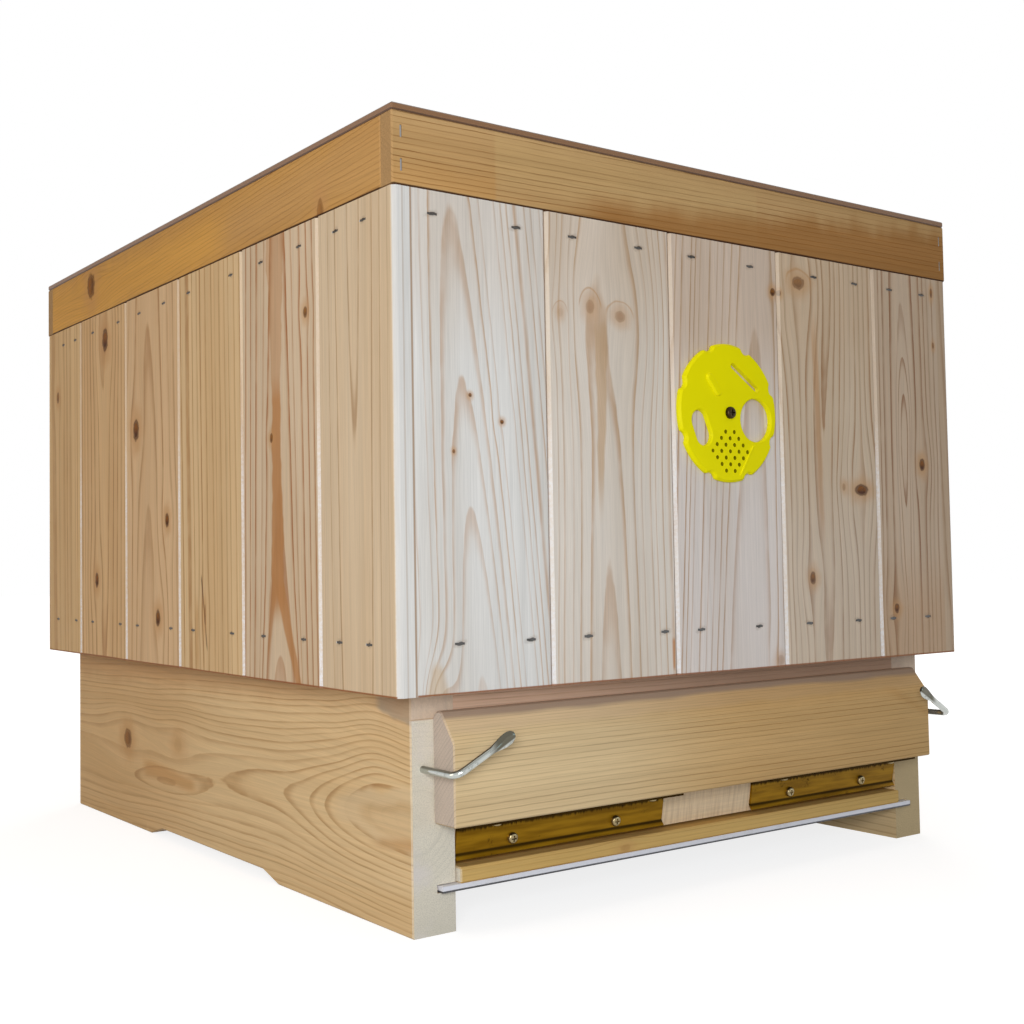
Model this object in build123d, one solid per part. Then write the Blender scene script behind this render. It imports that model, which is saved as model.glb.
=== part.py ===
from build123d import *

import math
import os

# An insulated beehive: a bottom board with a folding landing flap, an insulated body and a flat roof.
# Sizes are in millimetres. X runs to the right, Y to the back and Z up. Every piece is drawn about the
# middle of the cladding, and moved on export so that the origin lies under the middle of the whole hive.

# Body and roof
body_width = 478.0
body_depth = 548.0
body_height = 268.0
roof_board_height = 40.0
roof_sheet_thickness = 4.0
roof_ceiling_thickness = 5.0
roof_clearance = 0.5
rim_height = 10.0

# Wall, from the outside in
cladding_thickness = 12.0
insulation_thickness = 21.0
inner_wall_thickness = 16.0
lower_rail_height = 40.0
upper_rail_height = 25.0

# Cladding boards
board_cover = 97.0
front_boards = 5
side_boards = 6
front_joint_shift = 9.5
side_joint_shift = 0.0
joint_bevel = 2.0
tongue_reach = 5.0
tongue_thickness = 4.0
tongue_clearance = 0.3
corner_radius = 3.5

# Staples
staple_crown = 6.5
staple_wire = 1.2
staple_leg = 24.0
staple_sink = 0.3
staple_clearance = 0.05
staple_inset = 20.0
staple_above_bottom = 26.5
staple_below_top = 12.5
roof_staple_inset = 11.0
# Hand-set staples leave the even spacing. Shifts along the wall of a board's staples: lower and upper one
# near its low joint, then lower and upper one near its high joint
staple_shifts = {
    "front_board_1": (7.2, -6.9, 4.7, -1.1),
    "front_board_2": (6.6, -0.2, 9.8, -5.6),
    "front_board_3": (0.4, -1.1, -5.1, -5.6),
    "front_board_4": (3.0, 15.9, -4.3, 1.0),
    "front_board_5": (-7.0, -0.9, 0.0, 3.5),
    "left_board_1": (8.4, 10.0, -0.6, -0.5),
    "left_board_2": (0.4, 1.8, -6.5, -6.6),
    "left_board_3": (-3.2, -4.7, -1.0, 3.7),
    "left_board_4": (-4.1, 5.9, -0.4, -6.0),
    "left_board_5": (-6.8, -4.3, -5.4, -7.0),
    "left_board_6": (-8.0, -6.6, -4.7, -18.2),
}
no_shifts = (0.0, 0.0, 0.0, 0.0)

# Entrance disc and the bore behind it
disc_x = 6.8
disc_above_bottom = 160.0
disc_radius = 43.3
disc_thickness = 3.0
disc_gap = 0.3
disc_edge = 1.4
disc_opening_edge = 0.8
disc_lobes = 8
disc_notch_radius = 4.5
disc_notch_depth = 2.4
disc_notch_easing = 2.5
entry_hole_radius = 13.7
entry_hole_ring = 24.4
entry_hole_angle = -8.5
oval_length = 22.5
oval_width = 13.0
oval_ring = 26.2
oval_angle = 203.0
slit_length = 29.0
slit_width = 3.6
slit_ring = 27.0
slit_angle = 57.0
grip_length = 16.0
grip_width = 5.0
grip_height = 1.8
grip_ring = 21.8
grip_angle = 129.5
vent_rows = (2, 3, 4, 5, 4, 3, 2)
vent_row_pitch = 4.05
vent_hole_pitch = 7.7
vent_hole_radius = 1.3
vent_ring = 24.0
ridge_ring = 32.9
ridge_angle = -64.0
ridge_turn = 121.0
ridge_length = 22.4
ridge_width = 1.0
ridge_height = 0.8
bore_radius = 12.5
disc_screw_radius = 1.75
disc_screw_length = 10.5
disc_screw_head_radius = 3.75
disc_screw_head_height = 2.6
running_clearance = 0.08

# Brood frames
frame_pitch = 37.5
frame_space_below = 10.0
frame_side_space = 10.0
frame_bar_width = 25.0
frame_bar_thickness = 10.0
frame_side_width = 28.0
frame_side_thickness = 10.0
frame_bottom_width = 20.0
frame_bottom_thickness = 8.0
foundation_thickness = 3.0
lug_rebate_depth = 9.0
lug_rebate_height = 18.0
lug_clearance = 1.5

# Bottom board
bottom_height = 130.0
bottom_inset = 20.0
bottom_board_thickness = 28.0
foot_notch_length = 202.0
foot_notch_depth = 6.0
foot_notch_run = 21.0
edge_ease = 0.8
rear_board_clearance_below = 8.0
lintel_thickness = 22.0
entrance_height = 22.0
rail_height = 22.5
rail_lath_gap = 2.0
rail_thickness = 28.0
rail_undercut = 9.0
batten_width = 16.0
batten_height = 18.0
net_thickness = 1.2
net_wire = 2.4
net_columns = 15
net_rows = 18
net_front_margin = 8.0
net_edge_clearance = 1.0

# Landing flap and its hinges
flap_thickness = 19.5
flap_below_body = 10.0
flap_hook_gap = 6.5
flap_bevel_drop = 16.0
flap_bevel_depth = 12.0
flap_back_bevel = 3.5
flap_gap = 0.3
flap_above_rail = 0.5
left_leaf_length = 155.0
right_leaf_length = 146.0
leaf_end_clearance = 1.0
leaf_thickness = 1.5
leaf_fold_above = 3.8
leaf_lip = 4.0
leaf_lip_angle = 40.0
flap_leaf_margin = 1.85
knuckle_radius = 2.25
knuckle_count = 11
knuckle_gap = 0.3
hinge_clearance = 0.2
hinge_pin_radius = 1.0
hinge_pin_clearance = 0.05
hinge_screw_radius = 1.5
hinge_screw_length = 14.0
hinge_screw_head_radius = 3.2
hinge_screw_head_height = 2.2
hinge_screw_fold_gap = 1.8
screw_hole_clearance = 0.05
leaf_hole_clearance = 0.2
rail_screw_shares = (0.25, 0.75)
flap_screw_shares = (0.125, 0.875)

# Cross-slot heads of all screws, as shares of the head
head_rounding = 0.6
head_slot_length = 1.1
head_slot_width = 0.28

# Turn hooks
hook_inset = 7.8
hook_below_body = 41.0
hook_wire_radius = 2.0
hook_depth = 20.0
hook_stand_off = 11.2
hook_bend = 6.0
hook_arm = 24.0
hook_angle = 28.5
hook_tilt = 5.0
hook_hole_clearance = 0.05
hook_hole_extra = 2.0
blade_length = 16.5
blade_half_width = 3.8
blade_half_thickness = 1.15
blade_waist = 0.3
# Blade from its full width to its tip: shares of its length, width and thickness
blade_stations = ((0.6, 1.0, 1.0), (0.85, 0.9, 0.95), (1.0, 0.45, 0.7))

# Sliding insert
sheet_thickness = 3.5
sheet_bottom = 22.5
groove_depth = 12.0
groove_clearance = 0.5
lath_height = 8.5
lath_depth = 20.0
lath_out = 4.0
lath_clearance = 1.0
insert_end_clearance = 1.0

# Working values: how far a cut runs past a face, and the guard when counting copies
cut_past = 1.0
count_guard = 1e-6

# Places worked out from the sizes
half_width = body_width / 2
half_depth = body_depth / 2
cavity_x = half_width - cladding_thickness
cavity_y = half_depth - cladding_thickness
wall_x = cavity_x - insulation_thickness
wall_y = cavity_y - insulation_thickness
inside_x = wall_x - inner_wall_thickness
inside_y = wall_y - inner_wall_thickness
body_bottom = bottom_height
cladding_top = body_bottom + body_height
rim_top = cladding_top + rim_height
roof_board_thickness = cladding_thickness - roof_clearance
roof_board_top = cladding_top + roof_board_height
roof_inner_x = half_width - roof_board_thickness
roof_inner_y = half_depth - roof_board_thickness
lug_seat = rim_top - lug_rebate_height
frame_bottom = body_bottom + frame_space_below
frame_half = inside_x - frame_side_space
side_outer = half_width - bottom_inset
side_inner = side_outer - bottom_board_thickness
bottom_back = half_depth - bottom_inset
bottom_front = -bottom_back
sheet_top = sheet_bottom + sheet_thickness
lath_top = sheet_top + lath_height
rail_bottom = lath_top + rail_lath_gap
rail_top = rail_bottom + rail_height
undercut = math.radians(rail_undercut)
flap_bottom = rail_top + flap_above_rail
flap_top = body_bottom - flap_below_body
flap_back = bottom_front - flap_gap
flap_front = flap_back - flap_thickness
hinge_y = bottom_front - knuckle_radius - hinge_clearance
hinge_z = flap_bottom - knuckle_radius - hinge_clearance
leaf_height = rail_height / math.cos(undercut) - leaf_fold_above
hinge_screw_drop = leaf_height - hinge_screw_fold_gap - hinge_screw_head_radius
flap_leaf_front = flap_front + flap_leaf_margin
hook_z = body_bottom - hook_below_body
hook_x = side_outer - hook_inset
hook_reach = bottom_front - flap_front + hook_stand_off
flap_half = hook_x - flap_hook_gap
disc_z = body_bottom + disc_above_bottom
disc_bore = disc_screw_radius + running_clearance
front_reach = hook_reach + (hook_arm + blade_length) * math.sin(math.radians(hook_tilt)) - bottom_inset
lengthwise_shift = front_reach / 2

pieces = {}


def block(x, y, z):
    """Box between a low and a high value on each axis."""
    size = [high - low for low, high in (x, y, z)]
    middle = [(high + low) / 2 for low, high in (x, y, z)]
    return Pos(*middle) * Box(*size)


def prism(points, low, high):
    """Outline of (x, y) points, raised from one height to another."""
    face = make_face(Polyline(*points, close=True))
    return Pos(0, 0, low) * extrude(face, amount=high - low, dir=(0, 0, 1))


def bar(points, low, high):
    """Outline of (y, z) points, carried along X from one place to another."""
    face = Plane.YZ * make_face(Polyline(*points, close=True))
    return Pos(low, 0, 0) * extrude(face, amount=high - low, dir=(1, 0, 0))


def rod(start, direction, radius, length):
    """Cylinder from a point along a direction."""
    plane = Plane(start, z_dir=direction)
    return plane * extrude(Circle(radius), amount=length)


def eased(shape):
    """All edges of a plain board taken off slightly."""
    return chamfer(shape.edges(), edge_ease)


def mirrored(shape):
    """The same piece on the other side of the hive."""
    return mirror(shape, about=Plane.YZ)


# Cladding

def board_joints(span, count, shift):
    """Places of the joints along a wall: full boards about its middle, and end boards that share the rest."""
    full_boards = count - 2
    first = (span - full_boards * board_cover) / 2 + shift
    return [0.0] + [first + i * board_cover for i in range(full_boards + 1)] + [span]


def board_outline(low, high, grooved, tongued):
    """Section of one board: distance along the wall, and depth from the outer face."""
    tongue_low = (cladding_thickness - tongue_thickness) / 2
    tongue_high = tongue_low + tongue_thickness
    groove_end = low + tongue_reach + tongue_clearance
    points = [(low, 0.0)]
    if grooved:
        points = [
            (low + joint_bevel, 0.0),
            (low, joint_bevel),
            (low, tongue_low - tongue_clearance),
            (groove_end, tongue_low - tongue_clearance),
            (groove_end, tongue_high + tongue_clearance),
            (low, tongue_high + tongue_clearance),
        ]
    points += [(low, cladding_thickness), (high, cladding_thickness)]
    if not tongued:
        return points + [(high, 0.0)]
    return points + [
        (high, tongue_high),
        (high + tongue_reach, tongue_high),
        (high + tongue_reach, tongue_low),
        (high, tongue_low),
        (high, joint_bevel),
        (high - joint_bevel, 0.0),
    ]


def staple_outline(along, grow, top):
    """U of a staple in the plane of its legs: distance along the crown, and depth from the face."""
    reach = staple_crown / 2 + grow
    inner = staple_crown / 2 - staple_wire - grow
    tip = staple_sink + staple_leg + grow
    under = staple_sink + staple_wire + grow
    return [
        (along - reach, top),
        (along + reach, top),
        (along + reach, tip),
        (along + inner, tip),
        (along + inner, under),
        (along - inner, under),
        (along - inner, tip),
        (along - reach, tip),
    ]


def cladding_staple(along, height, place):
    """A staple across a board, and the pocket that it sits in."""
    half = staple_wire / 2
    wire = [place(*p) for p in staple_outline(along, 0.0, staple_sink)]
    staple = prism(wire, height - half, height + half)
    room = [place(*p) for p in staple_outline(along, staple_clearance, -cut_past)]
    wider = half + staple_clearance
    pocket = prism(room, height - wider, height + wider)
    return staple, pocket


def cladding_wall(side, joints, place, rounded_ends):
    """All boards of one wall as nodes, with their staples and the staples' pockets."""
    last = len(joints) - 2
    staples, pockets = [], []
    for i, (low, high) in enumerate(zip(joints, joints[1:])):
        outline = board_outline(low, high, i > 0, i < last)
        board = prism([place(*p) for p in outline], body_bottom, cladding_top)
        ends = [place(low, 0.0)] * (i == 0) + [place(high, 0.0)] * (i == last)
        if rounded_ends:
            for x, y in ends:
                edge = board.edges().filter_by(Axis.Z).sort_by_distance((x, y, body_bottom))[0]
                board = fillet(edge, min(corner_radius, cladding_thickness - edge_ease))
        inset = min(staple_inset, (high - low) / 3)
        rows = (body_bottom + staple_above_bottom, cladding_top - staple_below_top)
        spots = [(along, height) for along in (low + inset, high - inset) for height in rows]
        shifts = staple_shifts.get(f"{side}_board_{i + 1}", no_shifts)
        mine = [
            cladding_staple(along + shift, height, place)
            for (along, height), shift in zip(spots, shifts)
        ]
        staples += [staple for staple, _ in mine]
        pockets += [pocket for _, pocket in mine]
        pieces[f"{side}_board_{i + 1}"] = board - [pocket for _, pocket in mine]
    return staples, pockets


front_joints = board_joints(2 * cavity_x, front_boards, front_joint_shift)
side_joints = board_joints(body_depth, side_boards, side_joint_shift)
walls = {
    "front": (front_joints, lambda u, v: (u - cavity_x, v - half_depth), False),
    "back": (front_joints, lambda u, v: (cavity_x - u, half_depth - v), False),
    "left": (side_joints, lambda u, v: (v - half_width, u - half_depth), True),
    "right": (side_joints, lambda u, v: (half_width - v, u - half_depth), True),
}
all_staples, all_pockets = [], []
for side, (joints, place, rounded_ends) in walls.items():
    staples, pockets = cladding_wall(side, joints, place, rounded_ends)
    all_staples += staples
    all_pockets += pockets
pieces["cladding_staples"] = Compound(all_staples)

# Inner walls, rails and insulation

bore_z = disc_z - vent_ring
bore_start = (disc_x, -half_depth - cut_past, bore_z)
bore = rod(bore_start, (0, 1, 0), bore_radius, half_depth - inside_y + 2 * cut_past)


def ring_of_four(inner_x, outer_x, inner_y, outer_y, z):
    """Front, back, left and right pieces of a square ring; the front and back ones run past the others."""
    return [
        block((-outer_x, outer_x), (-outer_y, -inner_y), z),
        block((-outer_x, outer_x), (inner_y, outer_y), z),
        block((-outer_x, -inner_x), (-inner_y, inner_y), z),
        block((inner_x, outer_x), (-inner_y, inner_y), z),
    ]


lower_rail_top = body_bottom + lower_rail_height
upper_rail_bottom = cladding_top - upper_rail_height
rails = ring_of_four(wall_x, cavity_x, wall_y, cavity_y, (body_bottom, lower_rail_top))
rails += ring_of_four(wall_x, cavity_x, wall_y, cavity_y, (upper_rail_bottom, rim_top))
pieces["wall_rails"] = Compound([(rail - all_pockets).solid() for rail in rails])

panels = ring_of_four(wall_x, cavity_x, wall_y, cavity_y, (lower_rail_top, upper_rail_bottom))
pieces["wall_insulation"] = Compound([(panel - bore).solid() for panel in panels])

cross_wall = block((-inside_x, inside_x), (inside_y, wall_y), (body_bottom, rim_top))
pieces["back_inner_wall"] = cross_wall
pieces["front_inner_wall"] = mirror(cross_wall, about=Plane.XZ) - bore

rebate_x = inside_x + lug_rebate_depth
side_wall = block((inside_x, wall_x), (-wall_y, wall_y), (body_bottom, rim_top))
side_wall -= block((inside_x - cut_past, rebate_x), (-inside_y, inside_y), (lug_seat, rim_top + cut_past))
pieces["right_inner_wall"] = side_wall
pieces["left_inner_wall"] = mirrored(side_wall)

# Entrance disc

disc_face = Plane((disc_x, -half_depth, disc_z), x_dir=(1, 0, 0), z_dir=(0, -1, 0))


def pan_screw(shank_radius, length, head_radius, head_height):
    """Wood screw with a domed cross-slot head: its seat at zero, its head up, its shank down."""
    head = extrude(Circle(head_radius), amount=head_height)
    head = fillet(head.edges().group_by(Axis.Z)[-1], head_height * head_rounding)
    slot_size = (head_radius * head_slot_length, head_radius * head_slot_width, head_height)
    slot = Pos(0, 0, head_height) * Box(*slot_size)
    shank = Pos(0, 0, -length) * extrude(Circle(shank_radius), amount=length)
    return head + shank - slot - Rot(0, 0, 90) * slot


def on_ring(ring, angle):
    """Place on the disc at a distance and an angle from its screw, turned to face outwards."""
    return Rot(0, 0, angle) * Pos(ring, 0, 0)


def disc_outline():
    """Round outline with evenly spaced notches between its lobes."""
    notch_ring = disc_radius - disc_notch_depth + disc_notch_radius
    step = 360 / disc_lobes
    places = [on_ring(notch_ring, step * (i + 0.5)) for i in range(disc_lobes)]
    notches = [place * Circle(disc_notch_radius) for place in places]
    outline = Circle(disc_radius) - notches
    return fillet(outline.vertices(), disc_notch_easing)


def vent_holes():
    """Staggered rows of small holes, about the middle of the patch."""
    top = (len(vent_rows) - 1) / 2 * vent_row_pitch - vent_ring
    holes = []
    for row, count in enumerate(vent_rows):
        for k in range(count):
            across = (k - (count - 1) / 2) * vent_hole_pitch
            holes.append(Pos(across, top - row * vent_row_pitch) * Circle(vent_hole_radius))
    return holes


def is_outer(edge):
    """Whether an edge on the disc's face belongs to its outline and not to a hole in it."""
    places = [edge.position_at(share) for share in (0.0, 0.5, 1.0)]
    nearest = min(math.hypot(place.X, place.Y) for place in places)
    return nearest > disc_radius - disc_notch_depth - 2 * disc_edge


def entrance_disc():
    """Turning disc: entry hole, queen slot, slit, vent patch, grip bar and ridge around its screw."""
    blank = extrude(disc_outline(), amount=disc_thickness)
    blank = chamfer(blank.edges().group_by(Axis.Z)[-1], disc_edge)
    passages = [
        on_ring(entry_hole_ring, entry_hole_angle) * Circle(entry_hole_radius),
        on_ring(oval_ring, oval_angle) * Rot(0, 0, 90) * SlotOverall(oval_length, oval_width),
    ]
    disc = blank - [extrude(passage, amount=disc_thickness) for passage in passages]
    top_edges = disc.edges().group_by(Axis.Z)[-1]
    disc = chamfer([edge for edge in top_edges if not is_outer(edge)], disc_opening_edge)
    cuts = vent_holes()
    cuts.append(Circle(disc_bore))
    cuts.append(on_ring(slit_ring, slit_angle) * Rot(0, 0, 90) * SlotOverall(slit_length, slit_width))
    disc = disc - [extrude(cut, amount=disc_thickness) for cut in cuts]
    grip = extrude(on_ring(grip_ring, grip_angle) * SlotOverall(grip_length, grip_width), amount=grip_height)
    grip = chamfer(grip.edges().group_by(Axis.Z)[-1], grip_height / 3)
    ridge_place = on_ring(ridge_ring, ridge_angle) * Rot(0, 0, ridge_turn)
    ridge = extrude(ridge_place * SlotOverall(ridge_length, ridge_width), amount=ridge_height)
    return disc + [Pos(0, 0, disc_thickness) * raised for raised in (grip, ridge)]


disc_seat = disc_gap + disc_thickness + running_clearance
disc_screw_under_head = disc_seat + disc_screw_length
disc_screw = pan_screw(
    disc_screw_radius, disc_screw_under_head, disc_screw_head_radius, disc_screw_head_height
)
pieces["entrance_disc"] = disc_face * Pos(0, 0, disc_gap) * entrance_disc()
pieces["disc_screw"] = disc_face * Pos(0, 0, disc_seat) * disc_screw

screw_hole_start = (disc_x, -half_depth - cut_past, disc_z)
screw_hole_radius = disc_screw_radius + screw_hole_clearance
screw_hole_length = disc_screw_length + cut_past + screw_hole_clearance
screw_hole = rod(screw_hole_start, (0, 1, 0), screw_hole_radius, screw_hole_length)
for name in [name for name in pieces if name.startswith("front_board_")]:
    pieces[name] = pieces[name] - bore - screw_hole

# Brood frames, which stand across the hive

frame_count = math.floor(2 * inside_y / frame_pitch + count_guard)
frame_rows = [(i - (frame_count - 1) / 2) * frame_pitch for i in range(frame_count)]
top_bar_half = rebate_x - lug_clearance
side_bar_inner = frame_half - frame_side_thickness
bottom_bar_top = frame_bottom + frame_bottom_thickness


def in_each_frame(x, width, z):
    """The same bar in every frame."""
    return [block(x, (y - width / 2, y + width / 2), z) for y in frame_rows]


top_bar_z = (lug_seat, lug_seat + frame_bar_thickness)
side_bar_z = (frame_bottom, lug_seat)
bottom_bar_z = (frame_bottom, bottom_bar_top)
between_sides = (-side_bar_inner, side_bar_inner)
side_bars = in_each_frame((side_bar_inner, frame_half), frame_side_width, side_bar_z)
side_bars += in_each_frame((-frame_half, -side_bar_inner), frame_side_width, side_bar_z)
pieces["frame_top_bars"] = Compound(in_each_frame((-top_bar_half, top_bar_half), frame_bar_width, top_bar_z))
pieces["frame_side_bars"] = Compound(side_bars)
pieces["frame_bottom_bars"] = Compound(in_each_frame(between_sides, frame_bottom_width, bottom_bar_z))
foundation_z = (bottom_bar_top, lug_seat)
pieces["wax_foundations"] = Compound(in_each_frame(between_sides, foundation_thickness, foundation_z))

# Roof

roof_z = (cladding_top, roof_board_top)
roof_board_x = half_width - roof_board_thickness / 2


def roof_staple(x, height, grow, top):
    """Upright staple through the roof's front board into the end of a side board."""
    outline = [(v - half_depth, height + u) for u, v in staple_outline(0.0, grow, top)]
    half = staple_wire / 2 + grow
    return bar(outline, x - half, x + half)


def at_roof_corners(grow, top):
    """Staples at the roof's four corners."""
    front = [
        roof_staple(x, cladding_top + height, grow, top)
        for x in (-roof_board_x, roof_board_x)
        for height in (roof_staple_inset, roof_board_height - roof_staple_inset)
    ]
    return front + [mirror(staple, about=Plane.XZ) for staple in front]


roof_pockets = at_roof_corners(staple_clearance, -cut_past)
roof_cross = eased(block((-half_width, half_width), (roof_inner_y, half_depth), roof_z))
roof_side = eased(block((roof_inner_x, half_width), (-roof_inner_y, roof_inner_y), roof_z))
roof_sheet_z = (roof_board_top, roof_board_top + roof_sheet_thickness)
roof_ceiling_z = (rim_top, rim_top + roof_ceiling_thickness)
roof_fill_z = (rim_top + roof_ceiling_thickness, roof_board_top)
roof_inside = ((-roof_inner_x, roof_inner_x), (-roof_inner_y, roof_inner_y))
pieces["roof_back_board"] = roof_cross - roof_pockets
pieces["roof_front_board"] = mirror(roof_cross, about=Plane.XZ) - roof_pockets
pieces["roof_right_board"] = roof_side - roof_pockets
pieces["roof_left_board"] = mirrored(roof_side) - roof_pockets
pieces["roof_sheet"] = eased(block((-half_width, half_width), (-half_depth, half_depth), roof_sheet_z))
pieces["roof_ceiling"] = block(*roof_inside, roof_ceiling_z)
pieces["roof_insulation"] = block(*roof_inside, roof_fill_z)
pieces["roof_staples"] = Compound(at_roof_corners(0.0, staple_sink))

# Bottom board

notch_half = foot_notch_length / 2
side_outline = [
    (bottom_front, 0.0),
    (-notch_half, 0.0),
    (-notch_half + foot_notch_run, foot_notch_depth),
    (notch_half - foot_notch_run, foot_notch_depth),
    (notch_half, 0.0),
    (bottom_back, 0.0),
    (bottom_back, bottom_height),
    (bottom_front, bottom_height),
]
groove_x = side_inner + groove_depth
groove_z = (sheet_bottom - groove_clearance, sheet_bottom + sheet_thickness + groove_clearance)
groove_y = (bottom_front - cut_past, bottom_back + cut_past)
groove = block((side_inner - cut_past, groove_x), groove_y, groove_z)
hook_hole_start = (hook_x, bottom_front - cut_past, hook_z)
hook_hole_radius = hook_wire_radius + hook_hole_clearance
hook_hole = rod(hook_hole_start, (0, 1, 0), hook_hole_radius, hook_depth + hook_hole_extra + cut_past)
side_board = bar(side_outline, side_inner, side_outer)
side_board = chamfer(side_board.edges().group_by(Axis.X)[-1], edge_ease)
side_board = side_board - groove - hook_hole
pieces["right_side_board"] = side_board
pieces["left_side_board"] = mirrored(side_board)

between_side_boards = (-side_inner, side_inner)
rear_board_front = bottom_back - bottom_board_thickness
rear_board_z = (rear_board_clearance_below, bottom_height)
pieces["rear_board"] = block(between_side_boards, (rear_board_front, bottom_back), rear_board_z)
lintel_y = (bottom_front, bottom_front + lintel_thickness)
pieces["entrance_lintel"] = block(between_side_boards, lintel_y, (rail_top + entrance_height, bottom_height))

# The rail's face leans back towards its lower edge
rail_back = bottom_front + rail_thickness
rail_recess = (rail_top - rail_bottom) * math.tan(undercut)
rail_outline = [
    (bottom_front, rail_top),
    (rail_back, rail_top),
    (rail_back, rail_bottom),
    (bottom_front + rail_recess, rail_bottom),
]
down = Vector(0, math.sin(undercut), -math.cos(undercut))
outward = Vector(0, -math.cos(undercut), -math.sin(undercut))
rail_edge = Vector(0, bottom_front, rail_top)

batten_z = (rail_top - batten_height, rail_top)
side_batten = block((side_inner - batten_width, side_inner), (rail_back, rear_board_front), batten_z)
batten_span = (batten_width - side_inner, side_inner - batten_width)
rear_batten = block(batten_span, (rear_board_front - batten_width, rear_board_front), batten_z)
pieces["mesh_battens"] = Compound([side_batten, mirrored(side_batten), rear_batten])

net_half = side_inner - net_edge_clearance
net_y = (bottom_front + net_front_margin, rear_board_front - net_edge_clearance)
net_depth = net_y[1] - net_y[0]
net_column_pitch = (2 * net_half - net_wire) / net_columns
net_row_pitch = (net_depth - net_wire) / net_rows
net_gaps = GridLocations(net_column_pitch, net_row_pitch, net_columns, net_rows)
net_gap = Rectangle(net_column_pitch - net_wire, net_row_pitch - net_wire)
net_face = Rectangle(2 * net_half, net_depth) - [place * net_gap for place in net_gaps]
pieces["floor_mesh"] = Pos(0, sum(net_y) / 2, rail_top) * extrude(net_face, amount=net_thickness)

# Hinges of the landing flap: a leaf on the rail and one under the flap, turning on a pin

left_leaf = (leaf_end_clearance - side_inner, leaf_end_clearance - side_inner + left_leaf_length)
right_leaf = (side_inner - leaf_end_clearance - right_leaf_length, side_inner - leaf_end_clearance)
leaf_spans = (left_leaf, right_leaf)


def knuckles(span, odd, radius, length_change):
    """Every second stretch of a hinge's knuckle, as solid rods about the pin."""
    low, high = span
    pitch = (high - low) / knuckle_count
    start = 1 if odd else 0
    return [
        rod((low + i * pitch - length_change / 2, hinge_y, hinge_z), (1, 0, 0), radius, pitch + length_change)
        for i in range(start, knuckle_count, 2)
    ]


def hinge_leaf(outline, span, odd):
    """A leaf with its knuckles, cut clear of the other leaf's knuckles and bored for the pin."""
    low, high = span
    plate = bar(outline, low, high)
    plate = plate - knuckles(span, not odd, knuckle_radius + knuckle_gap, knuckle_gap)
    bore_radius = hinge_pin_radius + hinge_pin_clearance
    pin_bore = rod((low - cut_past, hinge_y, hinge_z), (1, 0, 0), bore_radius, high - low + 2 * cut_past)
    return plate + knuckles(span, odd, knuckle_radius, -knuckle_gap) - pin_bore


def rail_leaf_outline():
    """Section of the leaf on the rail: it follows the leaning face and its lower lip turns outwards."""
    lip = math.radians(leaf_lip_angle)
    lip_along = down * math.cos(lip) + outward * math.sin(lip)
    lip_across = outward * math.cos(lip) - down * math.sin(lip)
    top = rail_edge + down * ((rail_top - hinge_z) / math.cos(undercut))
    fold = rail_edge + down * leaf_height
    inner_fold = fold + outward * leaf_thickness - down * (leaf_thickness * math.tan(lip / 2))
    corners = [
        top,
        fold,
        fold + lip_along * leaf_lip,
        fold + lip_along * leaf_lip + lip_across * leaf_thickness,
        inner_fold,
        top + outward * leaf_thickness,
    ]
    return [(corner.Y, corner.Z) for corner in corners]


flap_leaf_outline = [
    (hinge_y, flap_bottom),
    (flap_leaf_front, flap_bottom),
    (flap_leaf_front, flap_bottom - leaf_thickness),
    (hinge_y, flap_bottom - leaf_thickness),
]
hinge_screw = pan_screw(
    hinge_screw_radius, hinge_screw_length + leaf_thickness, hinge_screw_head_radius, hinge_screw_head_height
)


def screw_seats(shares, y, z, direction):
    """Planes on the outer face of the leaves, one at each screw."""
    return [
        Plane((low + share * (high - low), y, z), x_dir=(1, 0, 0), z_dir=direction)
        for low, high in leaf_spans
        for share in shares
    ]


def drilled(shape, seats, radius):
    """A piece with a hole for each screw."""
    depth = hinge_screw_length + leaf_thickness + leaf_hole_clearance
    return shape - [seat * Pos(0, 0, -depth) * extrude(Circle(radius), amount=2 * depth) for seat in seats]


rail_screw_point = rail_edge + down * hinge_screw_drop + outward * leaf_thickness
rail_seats = screw_seats(rail_screw_shares, rail_screw_point.Y, rail_screw_point.Z, outward)
flap_screw_y = (hinge_y + flap_leaf_front) / 2
flap_seats = screw_seats(flap_screw_shares, flap_screw_y, flap_bottom - leaf_thickness, (0, 0, -1))
leaf_hole = hinge_screw_radius + leaf_hole_clearance
pilot_hole = hinge_screw_radius + screw_hole_clearance

rail_leaves = [hinge_leaf(rail_leaf_outline(), span, False) for span in leaf_spans]
flap_leaves = [hinge_leaf(flap_leaf_outline, span, True) for span in leaf_spans]
pins = [rod((low, hinge_y, hinge_z), (1, 0, 0), hinge_pin_radius, high - low) for low, high in leaf_spans]
pieces["floor_rail"] = drilled(bar(rail_outline, -side_inner, side_inner), rail_seats, pilot_hole)
pieces["rail_hinge_leaves"] = Compound([drilled(leaf, rail_seats, leaf_hole).solid() for leaf in rail_leaves])
pieces["flap_hinge_leaves"] = Compound([drilled(leaf, flap_seats, leaf_hole).solid() for leaf in flap_leaves])
pieces["hinge_pins"] = Compound([pin.solid() for pin in pins])
pieces["rail_hinge_screws"] = Compound([(seat * hinge_screw).solid() for seat in rail_seats])
pieces["flap_hinge_screws"] = Compound([(seat * hinge_screw).solid() for seat in flap_seats])

# Landing flap, folded up, with its top edge bevelled to the front

flap_outline = [
    (flap_back, flap_bottom),
    (flap_back, flap_top - flap_back_bevel),
    (flap_back - flap_back_bevel, flap_top),
    (flap_front + flap_bevel_depth, flap_top),
    (flap_front, flap_top - flap_bevel_drop),
    (flap_front, flap_bottom),
]
flap = eased(bar(flap_outline, -flap_half, flap_half))
pieces["landing_flap"] = drilled(flap, flap_seats, pilot_hole)

# Turn hooks: bent wire whose end is hammered flat


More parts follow.
